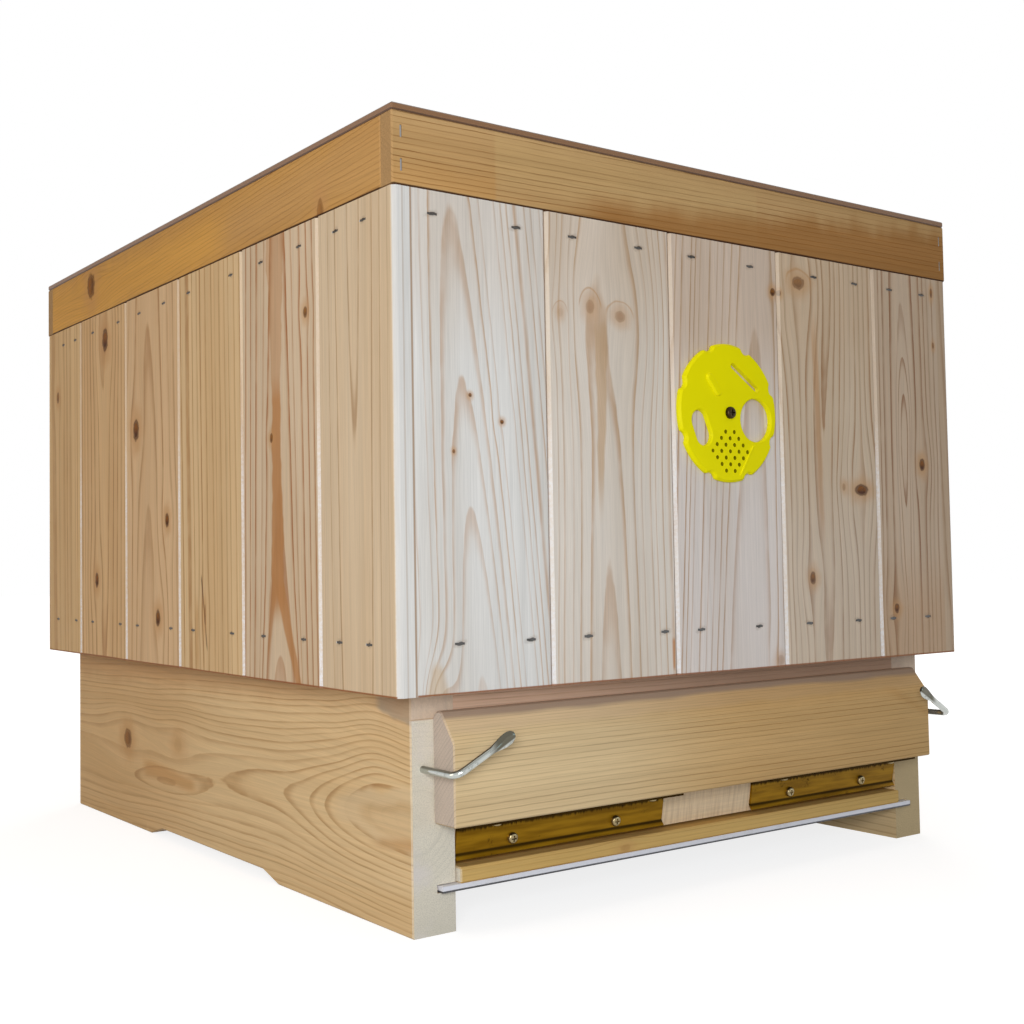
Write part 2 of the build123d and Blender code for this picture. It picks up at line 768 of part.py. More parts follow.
def right_hook():
    """Wire out of the side board, bent inwards and up across the flap, then flattened."""
    turn = math.radians(hook_angle)
    tilt = math.radians(hook_tilt)
    inward = Vector(-math.cos(turn) * math.cos(tilt), -math.sin(tilt), math.sin(turn) * math.cos(tilt))
    root = Vector(hook_x, bottom_front + hook_depth, hook_z)
    bend = Vector(hook_x, bottom_front - hook_reach, hook_z)
    neck = bend + inward * hook_arm
    route = FilletPolyline(root, bend, neck, radius=hook_bend)
    wire = sweep(Plane(root, z_dir=(0, -1, 0)) * Circle(hook_wire_radius), path=route)
    across = inward.cross(Vector(0, 1, 0)).normalized()
    waist = (hook_wire_radius + blade_half_width) / 2
    waist_thickness = (hook_wire_radius + blade_half_thickness) / 2
    sections = [(0.0, hook_wire_radius, hook_wire_radius), (blade_waist, waist, waist_thickness)]
    for share, width, thickness in blade_stations:
        sections.append((share, blade_half_width * width, blade_half_thickness * thickness))
    blade = loft([
        Plane(neck + inward * (share * blade_length), x_dir=across, z_dir=inward) * Ellipse(width, thickness)
        for share, width, thickness in sections
    ])
    return wire + blade


hook = right_hook()
pieces["right_hook"] = hook
pieces["left_hook"] = mirrored(hook)

# Sliding insert

sheet_half = groove_x - lath_clearance
insert_front = bottom_front - lath_out
lath_half = side_inner - lath_clearance
lath_y = (insert_front, insert_front + lath_depth)
sheet_y = (insert_front, rear_board_front - insert_end_clearance)
pieces["insert_sheet"] = block((-sheet_half, sheet_half), sheet_y, (sheet_bottom, sheet_top))
pieces["insert_lath"] = eased(block((-lath_half, lath_half), lath_y, (sheet_top, lath_top)))

# Export

os.makedirs("parts", exist_ok=True)
for name, shape in pieces.items():
    export_step(Pos(0, lengthwise_shift, 0) * shape, f"parts/{name}.step")
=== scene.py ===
"""Looks of an insulated beehive: pine boards, zinc wire, a yellow entrance disc, a white insert."""

import math
from types import SimpleNamespace

import bpy
import numpy as np
from mathutils import Matrix, Vector


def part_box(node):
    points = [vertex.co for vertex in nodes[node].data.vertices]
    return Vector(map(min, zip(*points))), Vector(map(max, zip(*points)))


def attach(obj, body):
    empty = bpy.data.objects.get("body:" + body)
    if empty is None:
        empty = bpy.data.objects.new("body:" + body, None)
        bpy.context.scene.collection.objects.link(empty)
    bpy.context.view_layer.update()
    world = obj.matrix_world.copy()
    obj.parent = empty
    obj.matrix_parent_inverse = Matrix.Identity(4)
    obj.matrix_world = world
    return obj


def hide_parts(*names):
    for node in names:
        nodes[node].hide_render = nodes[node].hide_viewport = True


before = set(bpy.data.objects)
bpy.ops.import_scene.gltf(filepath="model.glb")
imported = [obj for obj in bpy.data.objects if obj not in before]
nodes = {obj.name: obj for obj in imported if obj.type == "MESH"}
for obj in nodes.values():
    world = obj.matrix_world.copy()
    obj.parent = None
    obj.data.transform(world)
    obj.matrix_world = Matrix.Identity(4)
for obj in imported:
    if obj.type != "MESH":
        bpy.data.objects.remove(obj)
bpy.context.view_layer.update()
MM = 0.001
AXES = {"x": 0, "y": 1, "z": 2}
BELL_BASE = 2.718
# Half the height of a staple's dent
DENT_HALF = 1.15 * MM


def paint(red, green, blue):
    """Linear colour of a screen colour from 0 to 255."""
    values = np.array([red, green, blue]) / 255.0
    linear = np.where(values <= 0.04045, values / 12.92, ((values + 0.055) / 1.055) ** 2.4)
    return (*linear.tolist(), 1.0)


def darker(colour, share):
    """A share of a linear colour."""
    return (*(share * part for part in colour[:3]), 1.0)


class Wiring:
    """Places nodes in one tree and links them."""

    def __init__(self, tree):
        self.tree = tree

    def feed(self, socket, value):
        """Links an output to a socket, or sets the socket's own value."""
        if isinstance(value, bpy.types.NodeSocket):
            self.tree.links.new(value, socket)
        else:
            socket.default_value = value

    def node(self, kind, inputs=None, **settings):
        made = self.tree.nodes.new(kind)
        for key, value in settings.items():
            setattr(made, key, value)
        for key, value in (inputs or {}).items():
            self.feed(made.inputs[key], value)
        return made

    def math(self, operation, *values):
        made = self.node("ShaderNodeMath", dict(enumerate(values)), operation=operation)
        return made.outputs[0]

    def add(self, *values):
        total = values[0]
        for value in values[1:]:
            total = self.math("ADD", total, value)
        return total

    def minus(self, first, second):
        return self.math("SUBTRACT", first, second)

    def times(self, *values):
        product = values[0]
        for value in values[1:]:
            product = self.math("MULTIPLY", product, value)
        return product

    def over(self, first, second):
        return self.math("DIVIDE", first, second)

    def length(self, first, second):
        """Length of the hypotenuse over two sides."""
        return self.math("SQRT", self.add(self.times(first, first), self.times(second, second)))

    def spread(self, value, low, high, to_low=0.0, to_high=1.0, smooth=True):
        """Maps a range of values to another range, with soft ends where smooth."""
        kind = "SMOOTHSTEP" if smooth else "LINEAR"
        inputs = {"Value": value, "From Min": low, "From Max": high, "To Min": to_low, "To Max": to_high}
        return self.node("ShaderNodeMapRange", inputs, interpolation_type=kind).outputs[0]

    def fade(self, value, low, high):
        """One up to the low value, zero from the high one on, with soft ends."""
        return self.spread(value, low, high, 1.0, 0.0)

    def most(self, first, second):
        return self.math("MAXIMUM", first, second)

    def bell(self, square):
        """Bell curve over a squared distance: one in the middle."""
        return self.math("POWER", BELL_BASE, self.times(square, -1.0))

    def mix(self, share, low, high, blend="MIX"):
        made = self.node("ShaderNodeMix", {0: share, 6: low, 7: high}, data_type="RGBA", blend_type=blend)
        return made.outputs[2]

    def grey(self, value):
        return self.node("ShaderNodeCombineColor", {index: value for index in range(3)}).outputs[0]

    def noise(self, vector, scale, detail=2.0, roughness=0.5):
        inputs = {"Vector": vector, "Scale": scale, "Detail": detail, "Roughness": roughness}
        return self.node("ShaderNodeTexNoise", inputs).outputs["Fac"]

    def point(self, x, y, z):
        return self.node("ShaderNodeCombineXYZ", {0: x, 1: y, 2: z}).outputs[0]

    def parts(self, vector):
        return self.node("ShaderNodeSeparateXYZ", {0: vector}).outputs

    def bump(self, height, strength, distance):
        inputs = {"Strength": strength, "Distance": distance, "Height": height}
        return self.node("ShaderNodeBump", inputs).outputs[0]

    def group(self, name, inputs):
        made = self.tree.nodes.new("ShaderNodeGroup")
        made.node_tree = bpy.data.node_groups[name]
        for key, value in inputs.items():
            self.feed(made.inputs[key], value)
        return made.outputs


def new_group(name, inputs, outputs):
    """Empty shader node group; returns its wiring, its inputs and its outputs."""
    tree = bpy.data.node_groups.new(name, "ShaderNodeTree")
    for label in inputs:
        kind = "NodeSocketVector" if label == "Place" else "NodeSocketFloat"
        tree.interface.new_socket(label, in_out="INPUT", socket_type=kind)
    for label in outputs:
        tree.interface.new_socket(label, in_out="OUTPUT", socket_type="NodeSocketFloat")
    entry = tree.nodes.new("NodeGroupInput").outputs
    leave = tree.nodes.new("NodeGroupOutput").inputs
    return Wiring(tree), entry, leave


def build_growth_rings():
    """Growth rings: the distance from a leaning pith line, which stays level past one place along the board,
    is bent by noise and swellings and cut into rings of uneven width. Each ring stays pale, darkens in a thin
    line near its outer edge and ends sharply."""
    names = ["Along", "Across", "Depth", "Seed", "Ring Width", "Pith Across", "Pith Depth", "Lean Across",
             "Lean Depth", "Level Past", "Waviness", "Bend", "Line Start"]
    w, entry, leave = new_group("growth rings", names, ["Latewood", "Ring Tone", "Tone", "Fibre", "Streak"])
    along, across, depth, seed = (entry[name] for name in names[:4])
    side = w.minus(w.minus(across, entry["Pith Across"]), w.times(along, entry["Lean Across"]))
    rising = w.math("SMOOTH_MIN", along, entry["Level Past"], 0.06)
    inwards = w.minus(w.minus(depth, entry["Pith Depth"]), w.times(rising, entry["Lean Depth"]))
    slow = w.point(w.add(across, w.times(seed, 7.31)), depth, w.times(along, 0.3))
    wave = w.times(w.minus(w.noise(slow, 14.0, 2.0, 0.4), 0.5), entry["Waviness"])
    quick = w.point(across, depth, w.add(w.times(along, 0.5), seed))
    wobble = w.times(w.minus(w.noise(quick, 110.0, 2.0, 0.6), 0.5), 0.5 * MM)
    radius = w.add(w.length(side, inwards), wave, wobble, entry["Bend"])
    uneven = w.noise(w.point(w.times(radius, 70.0), seed, 0.0), 1.0)
    turns = w.add(w.over(radius, entry["Ring Width"]), w.times(uneven, 2.5))
    phase = w.math("FRACT", turns)
    count = w.add(w.math("FLOOR", turns), w.times(seed, 13.7))
    strength = w.node("ShaderNodeTexWhiteNoise", {"W": count}, noise_dimensions="1D").outputs["Value"]
    rise = w.math("POWER", w.spread(phase, entry["Line Start"], 0.93), 1.6)
    fall = w.fade(phase, 0.95, 1.0)
    patch = w.point(w.times(across, 4.0), w.times(depth, 4.0), w.add(w.times(along, 1.6), seed))
    broken = w.spread(w.noise(patch, 22.0), 0.25, 0.6, 0.5, 1.0)
    late = w.times(rise, fall, broken, w.spread(strength, 0.0, 1.0, 0.4, 1.0, False))
    w.feed(leave["Latewood"], late)
    w.feed(leave["Ring Tone"], w.times(w.spread(phase, 0.0, 0.95), strength))
    broad = w.point(w.add(across, w.times(seed, 3.17)), depth, w.times(along, 0.1))
    w.feed(leave["Tone"], w.noise(broad, 30.0))
    fine = w.point(across, depth, w.add(w.times(along, 0.018), seed))
    w.feed(leave["Fibre"], w.noise(fine, 1500.0, 2.0, 0.6))
    streak = w.point(across, depth, w.add(w.times(along, 0.01), seed))
    w.feed(leave["Streak"], w.noise(streak, 330.0, 2.0, 0.55))


def build_knot():
    """Knot: a ragged oval core with a dark rim and foot, a soft halo and an arched line above it. Its shift
    draws the grain apart: distance to the side, weakened by a bell curve over a stretched oval."""
    names = ["Along", "Across", "Centre Along", "Centre Across", "Radius", "Tall", "Flow", "Stretch", "Push",
             "Loop Reach"]
    w, entry, leave = new_group("knot", names, ["Core", "Rim", "Halo", "Loop", "Shift"])
    across = w.minus(entry["Across"], entry["Centre Across"])
    along = w.minus(entry["Along"], entry["Centre Along"])
    place = w.point(entry["Across"], entry["Along"], 0.0)
    ragged = w.spread(w.noise(place, 260.0), 0.0, 1.0, 0.72, 1.28, False)
    reach = w.over(w.length(across, w.over(along, entry["Tall"])), entry["Radius"])
    share = w.times(reach, ragged)
    w.feed(leave["Core"], w.fade(share, 0.6, 1.1))
    cracks = w.spread(w.noise(place, 700.0, 2.0, 0.7), 0.5, 0.7)
    foot = w.spread(w.over(along, w.times(entry["Radius"], entry["Tall"])), 0.4, -0.5)
    edge = w.times(w.spread(share, 0.5, 0.85), w.fade(share, 0.9, 1.25))
    edge = w.most(edge, w.times(foot, w.fade(share, 0.75, 1.05)))
    w.feed(leave["Rim"], w.most(edge, w.times(cracks, w.fade(share, 0.3, 0.8))))
    soft = w.spread(w.noise(place, 90.0), 0.0, 1.0, 0.6, 1.4, False)
    w.feed(leave["Halo"], w.fade(w.times(reach, soft), 0.6, 3.6))
    slack = w.spread(w.noise(place, 70.0, 1.0), 0.0, 1.0, 0.8, 1.2, False)
    loop = w.math("ABSOLUTE", w.minus(w.times(reach, slack), entry["Loop Reach"]))
    above = w.spread(w.over(along, entry["Radius"]), -0.6, 1.2)
    w.feed(leave["Loop"], w.times(w.fade(loop, 0.06, 0.26), above))
    flow = w.length(w.over(across, entry["Flow"]), w.over(along, w.times(entry["Flow"], entry["Stretch"])))
    w.feed(leave["Shift"], w.times(across, w.bell(w.times(flow, flow)), entry["Push"]))


def build_swelling():
    """Swelling of the rings: a bell curve over an oval, times its height."""
    names = ["Along", "Across", "Centre Along", "Centre Across", "Half Along", "Half Across", "Height"]
    w, entry, leave = new_group("swelling", names, ["Bend"])
    along = w.over(w.minus(entry["Along"], entry["Centre Along"]), entry["Half Along"])
    across = w.over(w.minus(entry["Across"], entry["Centre Across"]), entry["Half Across"])
    bell = w.bell(w.add(w.times(along, along), w.times(across, across)))
    w.feed(leave["Bend"], w.times(bell, entry["Height"]))


def build_stain():
    """Streak of other wood: a band from one place along the board to another, whose half width changes evenly
    and whose middle leans, with wavy soft sides and ends that fade."""
    names = ["Along", "Across", "Low", "High", "Middle", "Lean", "Half Low", "Half High", "Soft", "Fade"]
    w, entry, leave = new_group("stain", names, ["Mask"])
    share = w.over(w.minus(entry["Along"], entry["Low"]), w.minus(entry["High"], entry["Low"]))
    half = w.add(entry["Half Low"], w.times(share, w.minus(entry["Half High"], entry["Half Low"])))
    wave = w.minus(w.noise(w.point(w.times(entry["Across"], 0.4), entry["Along"], 0.3), 45.0), 0.5)
    off = w.minus(entry["Across"], w.add(entry["Middle"], w.times(share, entry["Lean"]), w.times(wave, half)))
    outside = w.minus(w.math("ABSOLUTE", off), half)
    sides = w.fade(outside, w.times(entry["Soft"], -1.0), entry["Soft"])
    start = w.spread(w.over(w.minus(entry["Along"], entry["Low"]), entry["Fade"]), -0.5, 0.5)
    end = w.spread(w.over(w.minus(entry["High"], entry["Along"]), entry["Fade"]), -0.5, 0.5)
    w.feed(leave["Mask"], w.times(sides, w.times(start, end)))


def build_staple_dents():
    """Crushed wood at a board's four staples: a ragged, tilted oval about the nearest of four places, which
    lie two and two on a lower and an upper row."""
    names = ["Along", "Across", "Lower Along", "Upper Along", "Lower First", "Upper First", "Lower Second",
             "Upper Second", "Tilt", "Half"]
    w, entry, leave = new_group("staple dents", names, ["Dark", "Crushed"])

    def nearer(place, low, high, middle):
        """The low or the high value, by the side of the middle on which the place lies."""
        return w.add(low, w.times(w.math("GREATER_THAN", place, middle), w.minus(high, low)))

    lower, upper = entry["Lower Along"], entry["Upper Along"]
    row = w.times(w.add(lower, upper), 0.5)
    along = w.minus(entry["Along"], nearer(entry["Along"], lower, upper, row))
    first = nearer(entry["Along"], entry["Lower First"], entry["Upper First"], row)
    second = nearer(entry["Along"], entry["Lower Second"], entry["Upper Second"], row)
    middle = w.times(w.add(first, second), 0.5)
    across = w.minus(entry["Across"], nearer(entry["Across"], first, second, middle))
    place = w.point(entry["Across"], entry["Along"], entry["Tilt"])
    ragged = w.spread(w.noise(place, 330.0), 0.1, 0.9, 0.6, 1.5, False)
    turned = w.add(along, w.times(across, entry["Tilt"]))
    reach = w.times(w.length(w.over(across, entry["Half"]), w.over(turned, DENT_HALF)), ragged)
    w.feed(leave["Dark"], w.fade(reach, 0.7, 1.1))
    w.feed(leave["Crushed"], w.fade(reach, 1.2, 2.4))


def build_grime():
    """Grime: patches of noise above a level, broken up by finer noise."""
    w, entry, leave = new_group("grime", ["Place", "Scale", "Level"], ["Patches"])
    broad = w.noise(entry["Place"], entry["Scale"], 4.0, 0.6)
    fine = w.noise(entry["Place"], w.times(entry["Scale"], 7.0), 3.0, 0.6)
    level = w.add(w.times(broad, 0.7), w.times(fine, 0.3))
    w.feed(leave["Patches"], w.spread(level, entry["Level"], w.add(entry["Level"], 0.14)))


build_growth_rings()
build_knot()
build_swelling()
build_stain()
build_staple_dents()
build_grime()


def new_object(name, data):
    """Object in the scene around a mesh, a light or a camera."""
    made = bpy.data.objects.new(name, data)
    bpy.context.scene.collection.objects.link(made)
    return made


def new_material(name, roughness, metallic=0.0, specular=0.5):
    """Material with one Principled shader; returns it, its wiring, the shader, the place and the normal."""
    material = bpy.data.materials.new(name)
    material.use_nodes = True
    wiring = Wiring(material.node_tree)
    shader = material.node_tree.nodes["Principled BSDF"]
    shader.inputs["Roughness"].default_value = roughness
    shader.inputs["Metallic"].default_value = metallic
    shader.inputs["Specular IOR Level"].default_value = specular
    coordinates = wiring.node("ShaderNodeTexCoord").outputs
    return material, wiring, shader, coordinates["Object"], coordinates["Normal"]


KNOT_CORE, KNOT_DARK = paint(140, 84, 22), paint(78, 40, 2)
KNOT_HALO = paint(200, 150, 98)
KNOT_STRETCH = 2.2
ARCH = paint(190, 138, 82)
ARCH_REACH = 2.7
# Bevels painted paler, and white towards the bottom: painted highlights
BEVEL_SHEEN, BEVEL_GLARE = paint(230, 208, 178), paint(244, 245, 250)
# Heights in metres between which the painted glare on a bevel fades
GLARE_FADES = (0.27, 0.36)
GROOVE_WOOD = paint(120, 88, 62)
# Depths behind the outer face between which a groove darkens and pales again
GROOVE_DARKENS, GROOVE_PALES = (1.45 * MM, 1.85 * MM), (2.1 * MM, 2.3 * MM)
STREAK_SHADE, END_SHADE = 0.6, 0.72
END_WOOD, END_BLOOM = paint(235, 227, 210), paint(228, 220, 220)
# Half widths of the joint line under a lapping strip, full and faded
LAP_JOINT = (0.2 * MM, 0.7 * MM)
CRUSHED_WOOD, DENT_DARK = paint(150, 130, 112), paint(60, 53, 48)
STAPLE_LENGTHS = ("Lower Along", "Upper Along", "Lower First", "Upper First", "Lower Second", "Upper Second")
SWELLING_LENGTHS = ("Centre Along", "Centre Across", "Half Along", "Half Across", "Height")
STAIN_LENGTHS = ("Low", "High", "Middle", "Lean", "Half Low", "Half High", "Soft", "Fade")
# A board's values, lengths in millimetres. pith: where the pith line runs across and into the board; lean:
# its climb along the board, up to level_past. line: where in a ring the dark line starts. end: end grain,
# with end_lines, bloom and lap, the height and colour of a strip over the front end. foot, top: axis, height,
# thickness and colour of a line along the foot or the top edge; a top line is painted shade. seam: outer face
# and sign. edge: axis, sign, colour and lines of a narrow side, its colour painted light. staples: places,
# tilt
# and half width of the dents. marks: scale of saw marks. sides: strength of the painted highlights on the
# bevels.
PINE = {
    "ring": 3.2, "pith": (0.0, 30.0), "lean": (0.0, 0.0), "wave": 3.0, "contrast": 0.8, "line": 0.62,
    "knots": (), "swellings": (), "stains": (), "end": END_WOOD, "foot": None, "top": None, "seam": None,
    "staples": None, "marks": 0.0, "warm": (1.0, 0.94, 0.86), "gloss": 0.5, "sides": 0.0, "shine": 0.03,
    "edge": None, "level_past": 2000.0, "end_lines": 0.3, "bloom": 0.0, "lap": None,
}


def in_metres(labels, lengths):
    """Inputs of a group from lengths in millimetres."""
    return {label: length * MM for label, length in zip(labels, lengths)}


def dress(w, shader, colour, roughness=None, normal=None):
    """Links what a material has made to its shader."""
    for socket, value in (("Base Color", colour), ("Roughness", roughness), ("Normal", normal)):
        if value is not None:
            w.feed(shader.inputs[socket], value)


def coat(names, material):
    """Gives the carried-over nodes that one string names the same material."""
    for name in names.split():
        mesh = nodes[name].data
        mesh.materials.clear()
        mesh.materials.append(material)


def bevel_highlights(w, wood, place, facing, along, run, glare):
    """Painted highlights on the bevels between a board's face and its sides: paler wood, and white glare
    lower down.
    """
    slant = w.times(*(w.math("ABSOLUTE", facing[AXES[axis]]) for axis in run[1:]))
    speckle = w.spread(w.noise(place, 500.0, 2.0, 0.7), 0.35, 0.65, 0.6, 1.0)
    uneven = w.spread(w.noise(w.point(0.0, 0.0, along), 7.0), 0.3, 0.7, 0.55, 1.0)
    bevel = w.spread(slant, 0.2, 0.45)
    low = w.spread(w.add(along, w.times(uneven, 0.06)), *GLARE_FADES, 1.0, 0.2)
    wood = w.mix(w.times(bevel, 0.5), wood, BEVEL_SHEEN)
    return w.mix(w.times(bevel, speckle, uneven, low, glare), wood, BEVEL_GLARE)


def end_grain(w, place, rings, own):
    """Sawn end of a board: pores, clouds, the rings' lines and a pale bloom."""
    deep = darker(own.end, END_SHADE)
    speck = w.noise(place, 1500.0, 2.0, 0.6)
    pores = w.mix(w.spread(speck, 0.35, 0.75, 0.0, 0.75), own.end, deep)
    cloud = w.spread(w.noise(place, 26.0, 3.0), 0.35, 0.7, 0.0, 0.35)
    hatch = w.times(w.add(rings["Latewood"], w.times(rings["Ring Tone"], 0.5)), own.end_lines)
    pores = w.mix(w.most(cloud, hatch), pores, deep)
    bloom = w.spread(w.noise(place, 38.0, 3.0, 0.6), 0.45, 0.7, 0.0, 0.5)
    return w.mix(w.times(bloom, own.bloom), pores, END_BLOOM)


def pine(node, run, early, late, seed, **changes):
    """Dresses a node as pine. run names the axes along, across and into the board; changes replace PINE's."""
    own = SimpleNamespace(**{**PINE, **changes})
    material, w, shader, place, normal = new_material(node.replace("_", " "), own.gloss, specular=own.shine)
    axes = w.parts(place)
    facing = w.parts(normal)
    along, across, depth = (axes[AXES[axis]] for axis in run)
    here = {"Along": along, "Across": across}
    knots, bend, grain_across = [], 0.0, across
    for knot_along, knot_across, radius, tall, flow, push, dark, *arch in own.knots:
        inputs = {"Centre Along": knot_along * MM, "Centre Across": knot_across * MM, "Radius": radius * MM,
                  "Tall": tall, "Flow": flow * MM, "Stretch": KNOT_STRETCH, "Push": push,
                  "Loop Reach": arch[1] if arch else ARCH_REACH}
        knot = w.group("knot", {**here, **inputs})
        grain_across = w.minus(grain_across, knot["Shift"])
        knots.append((knot, dark, arch))
    for lengths in own.swellings:
        bend = w.add(w.group("swelling", {**here, **in_metres(SWELLING_LENGTHS, lengths)})["Bend"], bend)
    rings = w.group("growth rings", {
        "Along": along, "Across": grain_across, "Depth": depth, "Seed": seed, "Bend": bend,
        "Ring Width": own.ring * MM, "Pith Across": own.pith[0] * MM, "Pith Depth": own.pith[1] * MM,
        "Lean Across": own.lean[0], "Lean Depth": own.lean[1], "Level Past": own.level_past * MM,
        "Waviness": own.wave * MM, "Line Start": own.line,
    })
    wood = w.mix(w.times(rings["Latewood"], own.contrast), early, late)
    tinted = w.mix(1.0, wood, (*own.warm, 1.0), "MULTIPLY")
    tint = w.add(w.spread(rings["Tone"], 0.4, 0.7, 0.0, 0.7), w.times(rings["Ring Tone"], 0.35))
    wood = w.mix(tint, wood, tinted)
    fibre = w.spread(rings["Fibre"], 0.3, 0.7, 0.955, 1.045)
    streak = w.spread(rings["Streak"], 0.3, 0.7, 0.96, 1.04)
    level = w.spread(rings["Tone"], 0.3, 0.7, 1.04, 0.94)
    shade = w.grey(w.times(fibre, streak, level))
    wood = w.mix(1.0, wood, shade, "MULTIPLY")
    for *lengths, colour, share in own.stains:
        mask = w.group("stain", {**here, **in_metres(STAIN_LENGTHS, lengths)})["Mask"]
        lines = w.times(rings["Latewood"], own.contrast * (1.0 - share))
        streaked = w.mix(lines, colour, darker(colour, STREAK_SHADE))
        wood = w.mix(w.times(mask, share), wood, w.mix(1.0, streaked, shade, "MULTIPLY"))
    for knot, dark, arch in knots:
        core = w.mix(w.times(knot["Rim"], dark), KNOT_CORE, KNOT_DARK)
        wood = w.mix(w.times(knot["Halo"], 0.35 + 0.3 * dark), wood, KNOT_HALO)
        if arch:
            wood = w.mix(w.times(knot["Loop"], arch[0]), wood, ARCH)
        wood = w.mix(w.times(w.most(knot["Core"], w.times(knot["Rim"], 0.8)), dark), wood, core)
    if own.sides:
        wood = bevel_highlights(w, wood, place, facing, along, run, own.sides)
    if own.seam:
        face, sign = own.seam
        deep = w.times(w.minus(depth, face * MM), sign)
        groove = w.times(w.spread(deep, *GROOVE_DARKENS), w.fade(deep, *GROOVE_PALES))
        wood = w.mix(w.times(groove, 0.8), wood, GROOVE_WOOD)
    for edge, sign in ((own.foot, 1.0), (own.top, -1.0)):
        if edge:
            axis, level, thick, colour = edge
            away = w.times(w.minus(axes[AXES[axis]], level * MM), sign)
            uneven = w.spread(w.noise(place, 9.0), 0.3, 0.7, 0.8, 1.2)
            line = w.spread(w.times(away, uneven), thick * 0.5 * MM, thick * MM, 0.92, 0.0)
            wood = w.mix(line, wood, colour)
    if own.edge:
        axis, sign, colour, lines = own.edge
        front = w.spread(w.times(facing[AXES[axis]], sign), 0.3, 0.6)
        narrow = w.mix(1.0, colour, shade, "MULTIPLY")
        for middle, half, share in lines:
            off = w.math("ABSOLUTE", w.minus(depth, middle * MM))
            narrow = w.mix(w.spread(off, half * 0.4 * MM, half * MM, share, 0.0), narrow, late)
        wood = w.mix(front, wood, narrow)
    if own.end:
        pores = end_grain(w, place, rings, own)
        if own.lap:
            level, colour = own.lap
            over = w.math("GREATER_THAN", across, level * MM)
            joint = w.spread(w.math("ABSOLUTE", w.minus(across, level * MM)), *LAP_JOINT, 0.5, 0.0)
            strip = w.mix(joint, w.mix(1.0, colour, shade, "MULTIPLY"), late)
            near = w.math("LESS_THAN", along, 0.0)
            pores = w.mix(w.times(near, w.most(over, joint)), pores, strip)
        wood = w.mix(w.spread(w.math("ABSOLUTE", facing[AXES[run[0]]]), 0.6, 0.85), wood, pores)
    height = w.add(w.times(rings["Latewood"], 0.4), w.times(rings["Fibre"], 0.6))
    if own.marks:
        stripes = w.noise(w.point(along, w.times(across, 0.05), 0.0), own.marks, 2.0, 0.7)
        wood = w.mix(w.spread(stripes, 0.4, 0.7, 0.0, 0.5), wood, late)
        height = w.add(height, w.times(stripes, 1.2))
    if own.staples:
        places, tilt, half = own.staples
        inputs = in_metres(STAPLE_LENGTHS, places)
        dents = w.group("staple dents", {**here, **inputs, "Tilt": tilt, "Half": half * MM})
        wood = w.mix(w.times(dents["Crushed"], 0.25), wood, CRUSHED_WOOD)
        wood = w.mix(w.times(dents["Dark"], 0.85), wood, DENT_DARK)
        height = w.minus(height, w.times(dents["Crushed"], 1.5))
    sheen = w.spread(rings["Fibre"], 0.2, 0.8, own.gloss - 0.06, own.gloss + 0.08, False)
    sheen = w.minus(sheen, w.times(rings["Latewood"], 0.1))
    dress(w, shader, wood, sheen, w.bump(height, 0.3, 0.5 * MM))
    coat(node, material)


